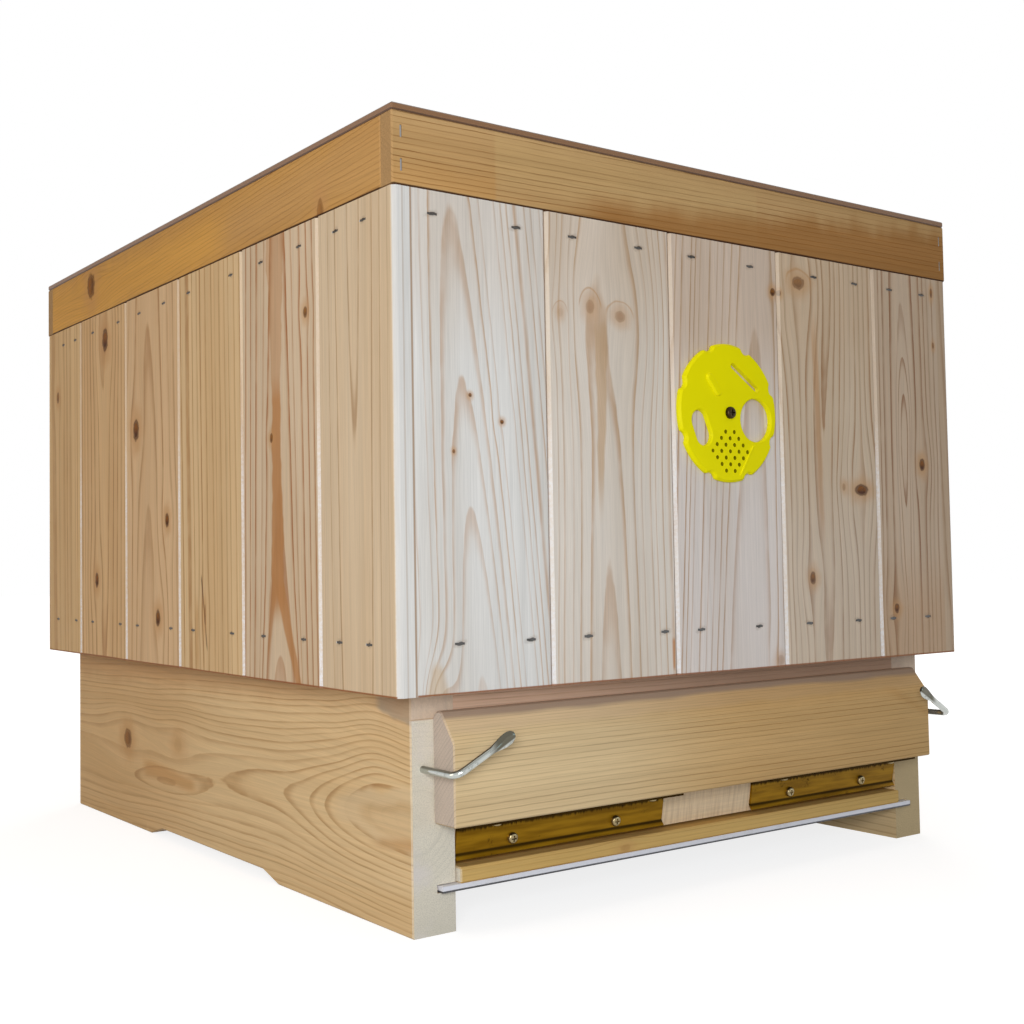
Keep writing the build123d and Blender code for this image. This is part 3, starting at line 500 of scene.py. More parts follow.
# Cladding: knots are (along, across, radius, tall, flow, push, dark), then the share and the reach of a line
# that arches above some; swellings are (along, across, half along, half across, height); stains are (low,
# high, middle, lean, half low, half high, soft, fade, colour, share)
FLAME = paint(190, 136, 86)
# Warmer, darker wood over the tops of the front boards: painted shade
SHADED_TOP = paint(205, 172, 136)
# Pale cool colour of the first left board's side that faces the front: painted light
LIT_EDGE_WOOD = paint(224, 221, 217)
# The front boards' early colours run from a pale cool white on the first board to a darker, warmer tan on the
# fifth: partly the boards' own tones, partly painted light that falls off along the front, the cool white
# partly a painted sheen
CLADDING = {
    "front_board_1": dict(
        seed=1.3, early=paint(227, 224, 220), late=paint(195, 158, 126), ring=4.5, pith=(-175.5, -260.3),
        lean=(-0.07, 0.05), contrast=0.85, line=0.56, warm=(0.99, 0.955, 0.915),
        knots=((289.8, -190.7, 1.1, 1.0, 5, 0.4, 0.9), (276.2, -169.3, 1.2, 1.0, 6, 0.4, 0.95),
               (259, -202, 0.9, 1.2, 5, 0.4, 0.8)),
        swellings=((124, -216, 26, 13, -14),),
        stains=((122, 146, -215, 0, 9, 3, 2.5, 8, paint(212, 182, 144), 0.6),
                (335, 440, -181, 0, 80, 80, 5, 80, SHADED_TOP, 0.22))),
    "front_board_2": dict(
        seed=2.1, early=paint(227, 216, 204), late=paint(190, 148, 106), ring=5.0, pith=(-92, -254),
        lean=(0.0, 0.03), wave=4.0, contrast=0.9, line=0.56, warm=(0.985, 0.945, 0.89),
        knots=((346.4, -103.6, 2.9, 1.3, 15, 0.85, 0.36, 0.45, 2.7),
               (342.7, -80.4, 3.7, 0.85, 26, 0.9, 0.42, 0.4, 2.9),
               (341, -126, 1.8, 1.3, 10, 0.7, 0.12, 0.35, 3.0)),
        stains=((236, 336, -98, 3, 2.0, 5.0, 1.0, 40, paint(203, 169, 132), 0.75),
                (345, 440, -88, 0, 80, 80, 5, 70, SHADED_TOP, 0.3),
                (134, 152, -42.5, 0, 0.8, 1.2, 0.8, 4, paint(192, 127, 67), 0.8))),
    "front_board_3": dict(
        seed=3.7, early=paint(229, 218, 211), late=paint(182, 140, 103), ring=4.6, pith=(18, -244),
        lean=(0.05, 0.03), wave=3.5, contrast=0.95, line=0.55, warm=(0.985, 0.945, 0.895),
        knots=((371.2, 53.0, 2.2, 1.2, 9, 0.7, 1.0), (134, 52, 3.0, 1.0, 10, 0.6, 0.3)),
        stains=((315, 440, 9, 0, 80, 80, 5, 70, SHADED_TOP, 0.52),)),
    "front_board_4": dict(
        seed=4.4, early=paint(218, 197, 172), late=paint(166, 120, 80), ring=5.4, pith=(100, -250),
        lean=(0.0, -0.025), wave=4.0, contrast=1.0, line=0.48, warm=(0.985, 0.94, 0.875),
        knots=((379.9, 78.2, 5.6, 0.72, 24, 0.9, 0.75, 0.45, 2.2),
               (244.4, 137.5, 6.4, 0.58, 18, 0.85, 1.0),
               (246, 119, 1.5, 1.6, 7, 0.6, 0.4), (185.8, 85.1, 2.6, 1.5, 12, 0.8, 0.9),
               (371.2, 59.5, 1.4, 1.3, 7, 0.6, 0.9)),
        stains=((215, 352, 96, -3, 2.2, 3.0, 1.5, 30, paint(195, 147, 102), 0.7),
                (330, 440, 106, 0, 80, 80, 5, 80, SHADED_TOP, 0.42),
                # Paler, cooler wood over the board's lower part: painted sheen
                (100, 240, 106, 0, 80, 80, 5, 90, paint(226, 210, 194), 0.3))),
    "front_board_5": dict(
        seed=5.9, early=paint(208, 184, 159), late=paint(148, 102, 68), ring=5.6, pith=(186, -260),
        lean=(0.0, -0.04), wave=3.5, contrast=1.0, line=0.48, warm=(0.985, 0.935, 0.865),
        knots=((263.5, 205.3, 3.0, 1.4, 12, 0.8, 1.0), (163.4, 172.1, 2.4, 1.3, 10, 0.8, 0.95),
               (388, 222, 1.4, 2.4, 1, 0, 0.8), (350, 222.5, 1.2, 1.8, 1, 0, 0.7)),
        swellings=((283, 187, 52, 9, -9),),
        stains=((100, 185, 191, 0, 60, 60, 5, 60, paint(192, 150, 108), 0.45),)),
    "left_board_1": dict(
        seed=6.2, early=paint(218, 196, 167), late=paint(161, 123, 85), ring=10.0, pith=(-226, -222),
        lean=(0.0, -0.04), wave=4.0, line=0.78,
        edge=("y", -1.0, LIT_EDGE_WOOD, ((-233.0, 0.7, 0.3), (-227.8, 0.9, 0.75)))),
    "left_board_2": dict(
        seed=7.7, early=paint(218, 196, 169), late=paint(166, 104, 52), ring=6.6, pith=(-138, -224),
        lean=(0.0, 0.025), contrast=1.0, line=0.42,
        knots=((345.7, -172.2, 2.2, 1.5, 7, 0.6, 0.85), (276, -129, 1.8, 1.5, 6, 0.6, 0.85)),
        swellings=((110, -138, 55, 26, -9),),
        stains=((300, 412, -135, 0, 5, 12, 1.0, 20, FLAME, 0.5),
                (172, 306, -136, 1, 8, 5, 1.0, 20, FLAME, 0.9),
                (124, 190, -163, 26, 3, 6, 1.2, 14, FLAME, 0.85),
                (144, 190, -122, -9, 1, 5, 1.2, 14, FLAME, 0.6))),
    "left_board_3": dict(
        seed=8.4, early=paint(226, 196, 153), late=paint(167, 114, 54), ring=6.5, pith=(70, -190),
        lean=(0.0, 0.02), contrast=1.0, line=0.55,
        knots=((167.1, -33.1, 1.2, 6.0, 9, 0.5, 0.6),),
        stains=((145, 192, -36, 8, 0.7, 0.9, 0.6, 6, paint(110, 72, 36), 0.85),
                (130, 175, -20, 0, 3, 3, 2.5, 20, paint(190, 142, 84), 0.5))),
    "left_board_4": dict(
        seed=9.1, early=paint(223, 190, 150), late=paint(163, 112, 60), ring=7.5, pith=(62, -220),
        lean=(0.0, 0.04), wave=3.5, contrast=0.9, line=0.5,
        knots=((300.0, 84.6, 5.0, 1.5, 17, 0.85, 1.0), (231.8, 28.5, 3.0, 1.6, 12, 0.8, 1.0),
               (163.0, 45.3, 3.6, 1.6, 14, 0.8, 1.0))),
    "left_board_5": dict(
        seed=10.6, early=paint(222, 187, 141), late=paint(160, 106, 52), ring=7.5, pith=(150, -220),
        lean=(0.0, -0.04), wave=3.5, contrast=0.9, line=0.5,
        knots=((375.8, 146.9, 5.4, 1.6, 18, 0.85, 1.0), (189.4, 165.7, 3.4, 1.7, 13, 0.8, 1.0))),
    "left_board_6": dict(
        seed=11.2, early=paint(222, 189, 142), late=paint(164, 112, 56), ring=8.0, pith=(300, -205),
        lean=(0.0, 0.02), contrast=0.85, line=0.5,
        knots=((342.5, 256.6, 2.8, 1.6, 11, 0.8, 0.8),)),
}
# Boards whose wood the back and the right side borrow
LENDERS = ("front_board_4", "front_board_5", "left_board_1", "left_board_3", "left_board_4", "left_board_5",
           "left_board_6")
# Axes along, across and into a wall's boards, and the sign of the way in
SIDES = {"front": ("zxy", 1.0), "back": ("zxy", -1.0), "left": ("zyx", 1.0), "right": ("zyx", -1.0)}
# Where boards meet on the front and on the left; the back wall is the front turned round
JOINTS = {
    "x": np.array([-227.0, -136.0, -39.0, 58.0, 155.0, 227.0]),
    "y": np.array([-266.7, -186.7, -89.7, 7.3, 104.3, 201.3, 281.3]),
}
# How far a board's staples stand off the even spacing, as in the frame: lower and upper one near its low
# joint, then lower and upper one near its high joint
STAPLE_SHIFTS = {
    "front_board_1": (7.2, -6.9, 4.7, -1.1), "front_board_2": (6.6, -0.2, 9.8, -5.6),
    "front_board_3": (0.4, -1.1, -5.1, -5.6), "front_board_4": (3.0, 15.9, -4.3, 1.0),
    "front_board_5": (-7.0, -0.9, 0.0, 3.5), "left_board_1": (8.4, 10.0, -0.6, -0.5),
    "left_board_2": (0.4, 1.8, -6.5, -6.6), "left_board_3": (-3.2, -4.7, -1.0, 3.7),
    "left_board_4": (-4.1, 5.9, -0.4, -6.0), "left_board_5": (-6.8, -4.3, -5.4, -7.0),
    "left_board_6": (-8.0, -6.6, -4.7, -18.2),
}
EVEN = (0.0, 0.0, 0.0, 0.0)
STAPLE_ROWS = (156.5, 385.5)
STAPLE_INSET = 20.0
FRONT_DENT, SIDE_DENT = 2.5, 1.5
FRONT_FINISH, SIDE_FINISH = {"gloss": 0.3, "shine": 0.1}, {"gloss": 0.42, "shine": 0.03}
FOOT_LINE = ("z", 130.0, 1.3, paint(150, 94, 56))
CLADDING_END = paint(196, 152, 112)


def cladding_values(node, span, face):
    """A board's own values; back and right boards take the wood of another board and knots of their own."""
    rng = np.random.default_rng(sum(map(ord, node)))
    tilt = rng.uniform(-0.35, 0.35)
    inset = min(STAPLE_INSET, (span[1] - span[0]) / 3)
    half = FRONT_DENT if node.startswith("front") else SIDE_DENT
    shifts = np.array(STAPLE_SHIFTS.get(node, EVEN))
    spots = np.array([span[0], span[0], span[1], span[1]]) + inset * np.array([1, 1, -1, -1]) + shifts
    staples = ((*STAPLE_ROWS, *spots.tolist()), tilt, half)
    if node in CLADDING:
        return dict(CLADDING[node], staples=staples)
    middle = (span[0] + span[1]) / 2
    lent = CLADDING[rng.choice(LENDERS)]
    knots = []
    for _ in range(rng.integers(0, 4)):
        radius = rng.uniform(2.0, 6.0)
        place = (rng.uniform(150, 370), middle + rng.uniform(-36, 36))
        knots.append((*place, radius, 1.4, 3.2 * radius, 0.8, 0.9))
    inward = 1.0 if face < 0 else -1.0
    pith = (middle + rng.uniform(-25, 25), face + inward * rng.uniform(14, 40))
    return dict(lent, seed=rng.uniform(12, 60), pith=pith, knots=tuple(knots), swellings=(), stains=(),
                edge=None, staples=staples)


for node in [name for name in nodes if "_board_" in name]:
    run, sign = SIDES[node.split("_")[0]]
    low, high = (np.array(corner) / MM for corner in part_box(node))
    across, into = AXES[run[1]], AXES[run[2]]
    joints = -JOINTS["x"] if node.startswith("back") else JOINTS[run[1]]
    span = [joints[np.abs(joints - edge).argmin()] for edge in (low[across], high[across])]
    face = low[into] if sign > 0 else high[into]
    finish = FRONT_FINISH if node.startswith("front") else SIDE_FINISH
    pine(node, run, end=CLADDING_END, foot=FOOT_LINE, sides=1.0, seam=(face, sign), **finish,
         **cladding_values(node, span, face))

# Roof
ROOF_EARLY, ROOF_LATE = paint(202, 164, 114), paint(134, 90, 46)
ROOF_ENDS = {"end": paint(186, 148, 102), "foot": ("z", 398.0, 1.6, paint(64, 40, 30))}
PALE_ROOF = paint(212, 179, 124)
DEEP_ROOF = paint(206, 150, 82)
pine("roof_front_board", "xzy", ROOF_EARLY, ROOF_LATE, 21.3, ring=2.3, pith=(340, -190), lean=(0.012, 0.0),
     contrast=0.85, line=0.66, warm=(0.98, 0.92, 0.82),
     stains=((-171, 40, 424, -6, 14, 16, 10.0, 3, PALE_ROOF, 0.35),
             (-250, -171, 402, 0, 8, 10, 8.0, 3, DEEP_ROOF, 0.4),
             # Dark band along the lower edge, widening to cover the board at the right end: painted shade
             (-110, 290, 398, 10, 9, 30, 9.0, 60, paint(160, 104, 46), 0.7)), **ROOF_ENDS)
pine("roof_back_board", "xzy", ROOF_EARLY, ROOF_LATE, 22.9, ring=2.6, pith=(520, 320), contrast=0.7,
     **ROOF_ENDS)
pine("roof_left_board", "yzx", paint(205, 157, 92), paint(140, 90, 38), 23.4, ring=1.9, pith=(330, -140),
     lean=(-0.07, 0.0), wave=5.0, contrast=0.75,
     knots=((177.3, 423.7, 9.5, 0.8, 18, 0.8, 0.9), (-191, 399, 8.0, 0.45, 10, 0.5, 0.6)),
     stains=((-290, -60, 420, -8, 20, 12, 9.0, 40, paint(196, 154, 104), 0.45),
             (-60, 290, 414, 0, 14, 22, 10.0, 60, paint(236, 178, 86), 0.5)), **ROOF_ENDS)
pine("roof_right_board", "yzx", ROOF_EARLY, ROOF_LATE, 24.8, ring=2.8, pith=(520, 300), wave=5.0,
     contrast=0.65, knots=((-60, 415, 5.0, 1.1, 14, 0.8, 1.0),), **ROOF_ENDS)

# Bottom board, flap and insert lath
BASE_EARLY, BASE_LATE = paint(230, 200, 153), paint(150, 106, 62)
# Strip above the flap: its end on the left side, then its lower edge and the colour of its front
STRIP_END = paint(178, 163, 144)
LAP = (115.5, paint(216, 194, 172))
pine("left_side_board", "yzx", paint(232, 203, 158), paint(166, 119, 70), 31.2, ring=3.7, pith=(54, -158.9),
     lean=(-0.03, 0.233), level_past=-120, wave=13.0, contrast=0.7, bloom=1.0, lap=LAP, line=0.48,
     knots=((153.2, 66.0, 7.0, 1.0, 26, 0.85, 0.8), (57.6, 70.7, 5.0, 1.2, 20, 0.8, 0.12),
            (-238, 134, 9.0, 1.4, 30, 0.8, 0.1)),
     swellings=((75, 40, 60, 12, -6), (-212, 104, 34, 26, -9), (150, 100, 60, 14, 4)),
     stains=((30, 120, 44, 4, 4, 6, 3.0, 16, paint(200, 148, 92), 0.6),
             (40, 320, 66, 0, 80, 80, 5.0, 120, paint(202, 156, 104), 0.3),
             (-170, 320, 125, 0, 8, 16, 7.0, 140, paint(186, 138, 92), 0.4),
             (-290, -168, 64, -5, 26, 6, 3.0, 16, paint(230, 202, 160), 0.95),
             (-290, -196, 62, -2, 16, 4, 3.0, 18, paint(206, 166, 114), 0.5),
             (-290, -204, 61, -2, 12, 3, 3.0, 18, paint(230, 200, 156), 0.9),
             (-262, -210, 50, -4, 4, 2, 3.0, 20, paint(202, 152, 96), 0.6),
             (-262, -214, 121, 4, 11, 6, 1.5, 10, STRIP_END, 0.9)))
pine("right_side_board", "yzx", BASE_EARLY, BASE_LATE, 32.6, ring=4.4, pith=(70, 240), lean=(0.0, 0.08),
     wave=9.0, contrast=0.65, end=paint(216, 192, 150), lap=LAP,
     knots=((-90, 60, 6.0, 1.2, 20, 0.85, 0.9),))
pine("rear_board", "xzy", BASE_EARLY, BASE_LATE, 33.1, ring=4.4, pith=(60, 290), lean=(0.0, 0.09), wave=9.0,
     contrast=0.65, knots=((80, 75, 6.0, 1.2, 20, 0.85, 0.9),))
pine("entrance_lintel", "xzy", paint(218, 184, 158), paint(160, 124, 98), 34.0, ring=3.0, pith=(-150, -180),
     # Darker wood towards the right end: painted shade
     contrast=0.6, stains=((-60, 260, 90, 0, 80, 80, 5.0, 200, paint(178, 144, 120), 0.75),))
pine("floor_rail", "xzy", paint(236, 212, 178), paint(196, 168, 136), 35.5, ring=6.0, pith=(-80, -60),
     # Darker band along the rail's top: painted shadow of the flap above it
     contrast=0.1, marks=420.0, top=("z", 60.0, 3.0, paint(150, 128, 104)))
pine("mesh_battens", "yxz", BASE_EARLY, BASE_LATE, 36.1, ring=4.0, pith=(100, -80), contrast=0.6)
pine("landing_flap", "xzy", paint(224, 193, 143), paint(146, 104, 60), 37.7, ring=2.1, pith=(-60, -420),
     line=0.7, end=paint(212, 196, 182), end_lines=0.9, warm=(1.0, 0.96, 0.9),
     # Mauve-grey band under the flap's top edge: painted shadow of the body above it
     top=("z", 121.0, 7.0, paint(168, 144, 126)),
     stains=((-230, -40, 90, 0, 60, 60, 10.0, 120, paint(228, 206, 168), 0.45),
             (-250, 250, 115, 0, 6, 6, 2.0, 10, paint(230, 200, 162), 0.5),
             (-40, 250, 90, 0, 60, 60, 10.0, 160, paint(206, 158, 96), 0.5)))
pine("insert_lath", "xzy", paint(217, 180, 112), paint(164, 120, 62), 38.2, ring=3.0, pith=(160, -200),
     wave=4.0, contrast=0.6, knots=((-70, 29, 2.0, 1.8, 8, 0.5, 0.2),))

# Inside of the body
INNER_EARLY, INNER_LATE = paint(222, 192, 148), paint(182, 136, 86)
INNER_WALLS = {
    "front_inner_wall": ("xzy", (270, -150)), "back_inner_wall": ("xzy", (250, 320)),
    "left_inner_wall": ("yzx", (290, -120)), "right_inner_wall": ("yzx", (240, 130)),
}
for index, (node, (run, pith)) in enumerate(INNER_WALLS.items()):
    pine(node, run, INNER_EARLY, INNER_LATE, 41.0 + 1.7 * index, ring=5.0, pith=pith, lean=(0.0, 0.05),
         wave=10.0, contrast=0.6)
pine("wall_rails", "xzy", INNER_EARLY, INNER_LATE, 48.2, ring=4.5, pith=(150, 40), contrast=0.5, end=None)
pine("roof_ceiling", "yxz", paint(214, 182, 134), paint(186, 142, 92), 49.5, ring=9.0, pith=(40, 380),
     lean=(0.0, 0.04), wave=22.0, contrast=0.45, end=None)
FRAME_EARLY, FRAME_LATE = paint(228, 208, 170), paint(202, 170, 122)
FRAME_BARS = {
    "frame_top_bars": ("xyz", (60, 340)), "frame_side_bars": ("zyx", (60, 90)),
    "frame_bottom_bars": ("xyz", (60, 100)),
}
for index, (node, (run, pith)) in enumerate(FRAME_BARS.items()):
    pine(node, run, FRAME_EARLY, FRAME_LATE, 51.3 + 1.3 * index, ring=3.6, pith=pith, contrast=0.5)


def roof_panel():
    """Smooth brown panel with faint dust and a paler, layered cut edge."""
    material, w, shader, place, normal = new_material("roof panel", 0.42)
    dust = w.group("grime", {"Place": place, "Scale": 9.0, "Level": 0.5})["Patches"]
    film = w.mix(w.noise(place, 60.0, 3.0), paint(84, 58, 40), paint(104, 74, 50))
    film = w.mix(w.times(dust, 0.1), film, paint(140, 118, 92))
    level = w.math("ABSOLUTE", w.parts(normal)[2])
    layers = w.noise(w.parts(place)[2], 900.0)
    cut = w.mix(layers, paint(150, 106, 66), paint(112, 78, 50))
    panel = w.mix(w.spread(level, 0.3, 0.6), cut, film)
    dress(w, shader, panel, w.spread(dust, 0.0, 1.0, 0.44, 0.48, False))
    return material


# A hook's axis, to the side and upwards, the slope of its arm, where along the arm its blade begins, and how
# far under the arm's line the blade's bright rim ends
HOOK_X, HOOK_Z, HOOK_SLOPE = 211.2 * MM, 89.0 * MM, 0.543
BLADE_BEGINS = (17.0 * MM, 25.0 * MM)
RIM_ENDS = (-2.6 * MM, -1.4 * MM)


def zinc(name, light, dark, roughness, blade=False):
    """Plated metal: dull patches, darker where it faces up as a painted reflection, and a fine grain. A
    hook's blade, its hammered end, is darkened but for its rim."""
    material, w, shader, place, normal = new_material(name, roughness, metallic=0.92)
    dull = w.group("grime", {"Place": place, "Scale": 160.0, "Level": 0.5})["Patches"]
    # Darker where it faces up: painted reflection
    above = w.spread(w.parts(normal)[2], 0.2, 0.8, 0.0, 0.75)
    tarnish_and_reflection = w.most(above, w.times(dull, 0.5))
    if blade:
        x, _, z = w.parts(place)[:3]
        reach = w.minus(HOOK_X, w.math("ABSOLUTE", x))
        over = w.minus(w.minus(z, HOOK_Z), w.times(reach, HOOK_SLOPE))
        flat = w.times(w.spread(reach, *BLADE_BEGINS), w.spread(over, *RIM_ENDS))
        tarnish_and_reflection = w.most(tarnish_and_reflection, w.times(flat, 0.95))
    metal = w.mix(tarnish_and_reflection, light, dark)
    sheen = w.spread(dull, 0.0, 1.0, roughness - 0.04, roughness + 0.12, False)
    dress(w, shader, metal, sheen, w.bump(w.noise(place, 1400.0), 0.08, 0.2 * MM))
    return material


# Heights of the hinges: the painted shade under the flap begins, and the dark band in the fold begins and
# ends
UNDER_FLAP = (52.0 * MM, 54.0 * MM)
FOLD_BEGINS, FOLD_ENDS = (38.8 * MM, 40.0 * MM), (41.6 * MM, 40.6 * MM)


def hinge_gold():
    """Yellow passivated steel: dark gold, streaked along the leaf, with dirt spots, painted shade under the
    flap and a dark band in its fold.
    """
    material, w, shader, place, _ = new_material("hinge gold", 0.42, metallic=0.4, specular=0.05)
    x, y, z = w.parts(place)[:3]
    streak = w.noise(w.point(w.times(x, 0.1), y, z), 300.0)
    leaf = w.mix(w.spread(streak, 0.3, 0.72), paint(152, 112, 18), paint(121, 85, 6))
    spots = w.group("grime", {"Place": place, "Scale": 120.0, "Level": 0.58})["Patches"]
    ragged = w.times(w.minus(w.noise(w.point(x, 0.0, 0.0), 330.0, 4.0, 0.8), 0.5), 0.007)
    # Painted shade along the leaf's top, under the flap
    top = w.spread(w.add(z, ragged), *UNDER_FLAP)
    fold = w.times(w.spread(z, *FOLD_ENDS), w.spread(z, *FOLD_BEGINS))
    dirt_and_shade = w.most(w.times(top, 0.9), w.times(fold, 0.85))
    dirt_and_shade = w.most(dirt_and_shade, w.times(spots, 0.7))
    leaf = w.mix(dirt_and_shade, leaf, paint(34, 20, 4))
    dress(w, shader, leaf, w.spread(dirt_and_shade, 0.0, 1.0, 0.38, 0.75, False))
    return material


# The disc's vent grid: middle, and the radius over which it ends. Before the front face, whose distance from
# the disc's back follows, stand only the grip bar and the ridge
GRID_X, GRID_Z = 9.0 * MM, 265.0 * MM
GRID_ENDS = (16.5 * MM, 17.5 * MM)
FRONT_FACE = 2.9 * MM


def disc_plastic():
    """Moulded plastic, greenish yellow; its edges painted pale as light shining through, and painted dark as
    shade in the grid's holes.
    """
    material, w, shader, place, normal = new_material("disc plastic", 0.4, specular=0.03)
    cloud = w.noise(place, 55.0)
    face = w.mix(cloud, paint(253, 242, 0), paint(248, 237, 0))
    front = w.math("ABSOLUTE", w.parts(normal)[1])
    x, y, z = w.parts(place)[:3]
    face_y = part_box("entrance_disc")[1][1] - FRONT_FACE
    outside = w.spread(w.length(w.minus(x, GRID_X), w.minus(z, GRID_Z)), *GRID_ENDS)
    # Edges outside the grid and on the grip bar and ridge: painted light; edges in the grid: painted shade
    bright = w.most(outside, w.math("LESS_THAN", y, face_y))
    rims = w.mix(bright, paint(120, 112, 4), paint(252, 246, 30))
    plastic = w.mix(w.spread(front, 0.35, 0.9, 0.85, 0.0), face, rims)
    grain = w.noise(place, 1800.0)
    dress(w, shader, plastic, w.spread(grain, 0.3, 0.7, 0.32, 0.44, False), w.bump(grain, 0.12, 0.2 * MM))
    return material


# Heights between which the insert's dark lower edge ends
INSERT_EDGE_ENDS = (23.3 * MM, 23.7 * MM)


def insert_plastic():
    """White plastic sheet with handling marks, and a dark line along its lower front edge."""
    material, w, shader, place, _ = new_material("insert plastic", 0.42)
    z = w.parts(place)[2]
    marks = w.group("grime", {"Place": place, "Scale": 45.0, "Level": 0.52})["Patches"]
    sheet = w.mix(w.times(marks, 0.2), paint(234, 234, 242), paint(204, 198, 188))
    below = w.spread(z, *INSERT_EDGE_ENDS, 0.95, 0.0)
    sheet = w.mix(below, sheet, paint(40, 36, 38))
    dress(w, shader, sheet, w.spread(marks, 0.0, 1.0, 0.4, 0.6, False))
    return material


def wax():
    """Beeswax foundation: a hexagonal field of shallow cups, from three waves turned by sixty degrees."""
    material, w, shader, place, _ = new_material("foundation wax", 0.45)
    x, _, z = w.parts(place)[:3]
    cell = 5.3 * MM
    pitch = 2 * math.pi / (cell * math.sqrt(3) / 2)
    waves = []
    for turn in (0.0, math.pi / 3, 2 * math.pi / 3):
        reach = w.add(w.times(x, pitch * math.cos(turn)), w.times(z, pitch * math.sin(turn)))
        waves.append(w.math("COSINE", reach))
    rims = w.fade(w.add(*waves), -1.4, 0.4)
    comb = w.mix(w.noise(place, 30.0, 3.0), paint(226, 172, 66), paint(208, 150, 48))
    comb = w.mix(w.times(rims, 0.45), comb, paint(240, 204, 118))
    dress(w, shader, comb, w.spread(rims, 0.0, 1.0, 0.5, 0.38, False), w.bump(rims, 0.6, MM))
    return material


def fibre_board():
    """Soft fibre board: matted short fibres in browns."""
    material, w, shader, place, _ = new_material("fibre board", 0.9)
    mat = w.noise(place, 520.0, 4.0, 0.7)
    tufts = w.add(w.noise(place, 90.0, 3.0), 0.5)
    strands = w.mix(w.times(mat, tufts), paint(122, 92, 62), paint(178, 146, 106))
    dress(w, shader, strands, normal=w.bump(mat, 0.7, MM))
    return material


plating = zinc("zinc plating", paint(158, 164, 156), paint(92, 88, 72), 0.2)
coat("hinge_pins", plating)
coat("left_hook right_hook", zinc("hook wire", paint(190, 194, 190), paint(88, 84, 70), 0.14, blade=True))
coat("cladding_staples", zinc("staple wire", paint(88, 84, 80), paint(44, 40, 36), 0.5))
coat("roof_staples", zinc("roof staple wire", paint(150, 150, 150), paint(96, 94, 88), 0.4))
screw_brass = zinc("screw brass", paint(156, 140, 104), paint(84, 68, 42), 0.34)
coat("rail_hinge_screws flap_hinge_screws", screw_brass)
coat("disc_screw", zinc("dark screw", paint(58, 44, 26), paint(26, 20, 14), 0.36))
coat("rail_hinge_leaves flap_hinge_leaves", hinge_gold())
coat("roof_sheet", roof_panel())
coat("entrance_disc", disc_plastic())
coat("insert_sheet", insert_plastic())
coat("wax_foundations", wax())
coat("wall_insulation roof_insulation", fibre_board())


def fine_net():
    """Fine floor net: two layers of straight wires, each a square bar between two ends, from whole arrays."""
    low, high = (np.array(corner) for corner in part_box("floor_mesh"))
    pitch, wire = 3.6 * MM, 0.5 * MM
    middle = (low[2] + high[2]) / 2
    corners = np.array([(-1, -1), (1, -1), (1, 1), (-1, 1)]) * wire / 2
    blocks = []
    for run, step, lift in ((0, 1, 0.0), (1, 0, wire)):
        places = np.arange(low[step] + wire, high[step] - wire / 2, pitch)
        points = np.zeros((len(places), 2, 4, 3))
        points[:, 0, :, run] = low[run]
        points[:, 1, :, run] = high[run]
        points[..., step] = places[:, None, None] + corners[None, None, :, 0]
        points[..., 2] = middle - wire / 2 + lift + corners[None, None, :, 1]
        if run == 1:
            points = points[:, :, ::-1]
        blocks.append(points.reshape(-1, 3))
    verts = np.concatenate(blocks)
    count = len(verts) // 8
    sides = [(k, (k + 1) % 4, 4 + (k + 1) % 4, 4 + k) for k in range(4)]
    box = np.array(sides + [(3, 2, 1, 0), (4, 5, 6, 7)])
    faces = (np.arange(count)[:, None, None] * 8 + box[None]).reshape(-1, 4)
    mesh = bpy.data.meshes.new("floor_net_fine")
    mesh.from_pydata(verts.tolist(), [], faces.tolist())
    mesh.update()
    net = new_object("floor_net_fine", mesh)
    mesh.materials.append(plating)
    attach(net, "bottom_board")
    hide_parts("floor_mesh")


fine_net()


def seen_directly(w):
    """One where the camera, a reflection or glass looks, and zero for the light that falls on things."""
    path = w.node("ShaderNodeLightPath").outputs
    mirrored = w.most(path["Is Glossy Ray"], path["Is Transmission Ray"])
    return w.most(path["Is Camera Ray"], mirrored)


def lay_floor():
    """Pale floor that shows white to the camera, whiter with distance, and keeps a soft shadow."""
    mesh = bpy.data.meshes.new("studio_floor")
    reach = 8.0
    corners = [(-reach, -reach, 0), (reach, -reach, 0), (reach, reach, 0), (-reach, reach, 0)]
    mesh.from_pydata(corners, [], [(0, 1, 2, 3)])
    floor = new_object("studio_floor", mesh)
    material, w, shader, place, _ = new_material("studio floor", 0.9, specular=0.0)
    shader.inputs["Base Color"].default_value = (0.4, 0.4, 0.41, 1.0)
    x, y = w.parts(place)[:2]
    far = w.spread(w.length(x, y), 0.45, 1.1, 0.8, 1.0)
    white = {"Color": (1.0, 1.0, 1.0, 1.0), "Strength": w.times(seen_directly(w), far)}
    glow = w.node("ShaderNodeEmission", white)
    both = w.node("ShaderNodeAddShader", {0: shader.outputs[0], 1: glow.outputs[0]})
    w.feed(material.node_tree.nodes["Material Output"].inputs["Surface"], both.outputs[0])
    mesh.materials.append(material)


def set_world():
    """Soft warm light from all round, which the camera sees as white."""
    world = bpy.data.worlds.new("studio")
    bpy.context.scene.world = world
    world.use_nodes = True
    w = Wiring(world.node_tree)
    back = world.node_tree.nodes["Background"]
    seen = seen_directly(w)
    warm, white = (1.0, 0.9, 0.77, 1.0), (1.0, 1.0, 1.0, 1.0)
    w.feed(back.inputs["Color"], w.mix(seen, warm, white))
    w.feed(back.inputs["Strength"], w.spread(seen, 0.0, 1.0, 0.29, 1.0, False))


def area_light(name, place, target, size, power, colour=(1.0, 1.0, 1.0)):
    """Soft light, its size given as width and height, that faces a point."""
    data = bpy.data.lights.new(name, "AREA")
    data.shape = "RECTANGLE"
    data.size, data.size_y = size
    data.energy = power
    data.color = colour
    lamp = new_object(name, data)
    aim = Vector(target) - Vector(place)
    lamp.matrix_world = Matrix.Translation(place) @ aim.to_track_quat("-Z", "Y").to_matrix().to_4x4()


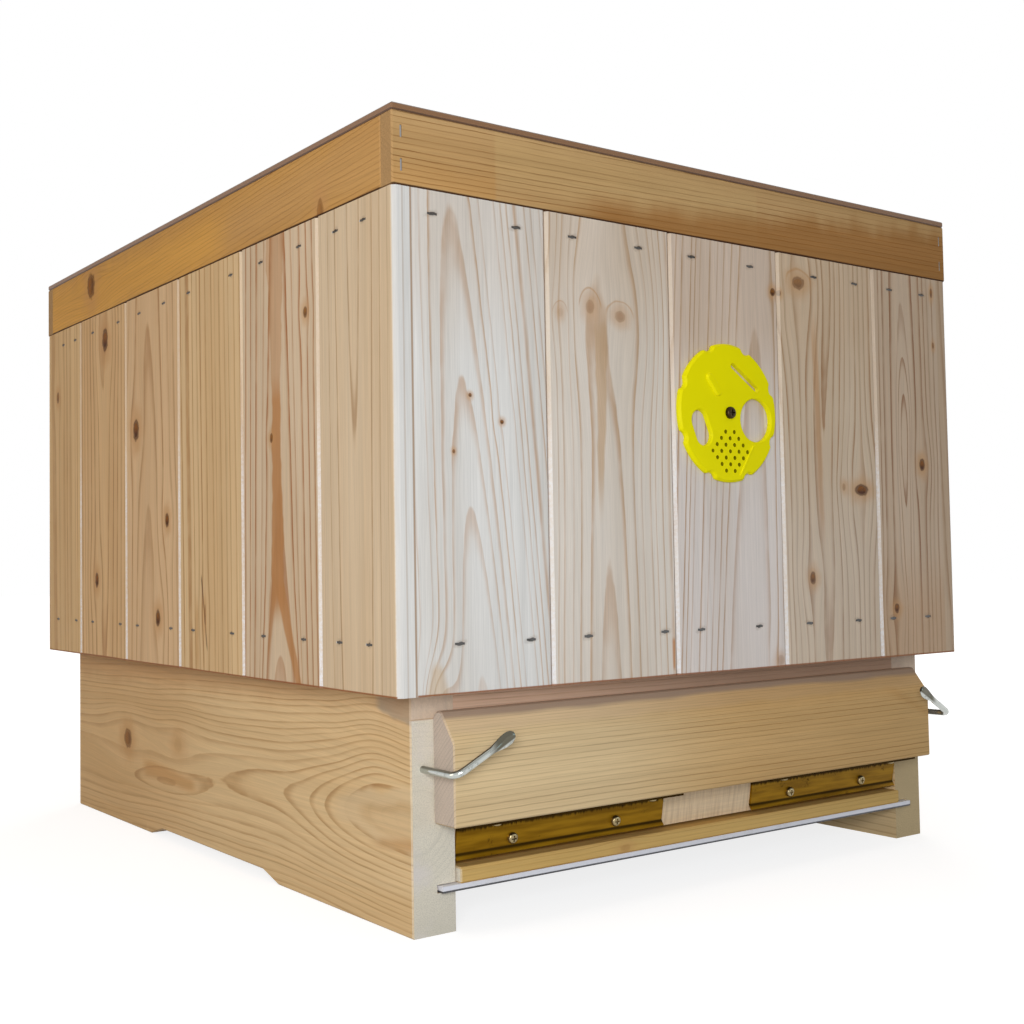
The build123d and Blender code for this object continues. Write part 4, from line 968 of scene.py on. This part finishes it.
# Camera: yaw, pitch and roll in degrees, the eye in metres, the picture's side, focal length and middle in
# pixels, and the sensor's width in millimetres
CAMERA_TURNS = (34.81, 2.60, -0.83)
EYE = (-0.611, -0.8414, 0.201)
PICTURE, FOCAL, MIDDLE = 1024.0, 1325.0, (440.0, 500.0)
SENSOR = 36.0


def set_camera():
    """Camera at the viewing angle that the hive's corners give: yaw, pitch and roll about its own axes."""
    yaw, pitch, roll = (math.radians(angle) for angle in CAMERA_TURNS)
    level = Vector((math.sin(yaw), math.cos(yaw), 0.0))
    side = Vector((math.cos(yaw), -math.sin(yaw), 0.0))
    top = Vector((0.0, 0.0, 1.0))
    ahead = level * math.cos(pitch) + top * math.sin(pitch)
    top = top * math.cos(pitch) - level * math.sin(pitch)
    right = side * math.cos(roll) + top * math.sin(roll)
    upright = top * math.cos(roll) - side * math.sin(roll)
    data = bpy.data.cameras.new("camera")
    data.sensor_fit = "HORIZONTAL"
    data.sensor_width = SENSOR
    data.lens = FOCAL / PICTURE * SENSOR
    data.shift_x = (PICTURE / 2 - MIDDLE[0]) / PICTURE
    data.shift_y = (MIDDLE[1] - PICTURE / 2) / PICTURE
    data.clip_start = 0.01
    camera = new_object("camera", data)
    turn = Matrix((right, upright, -ahead)).transposed()
    camera.matrix_world = Matrix.Translation(EYE) @ turn.to_4x4()
    bpy.context.scene.camera = camera


lay_floor()
set_world()
area_light("key", (-0.76, -0.96, 0.3), (-0.1, -0.1, 0.22), (0.35, 0.35), 5.8, (0.93, 0.97, 1.0))
area_light("window", (1.15, -1.6, 0.14), (0.0, -0.27, 0.2), (0.7, 0.36), 3.0, (0.4, 0.7, 1.0))
area_light("side", (-2.1, 0.5, 0.7), (-0.2, 0.1, 0.25), (0.9, 0.9), 6.5, (1.0, 0.84, 0.64))
area_light("top", (0.0, 0.0, 2.0), (0.0, 0.0, 0.2), (1.4, 1.4), 9.0)
area_light("back", (1.7, 1.7, 1.2), (0.0, 0.0, 0.2), (1.0, 1.0), 16.0)
set_camera()
bpy.context.scene.view_settings.view_transform = "Standard"
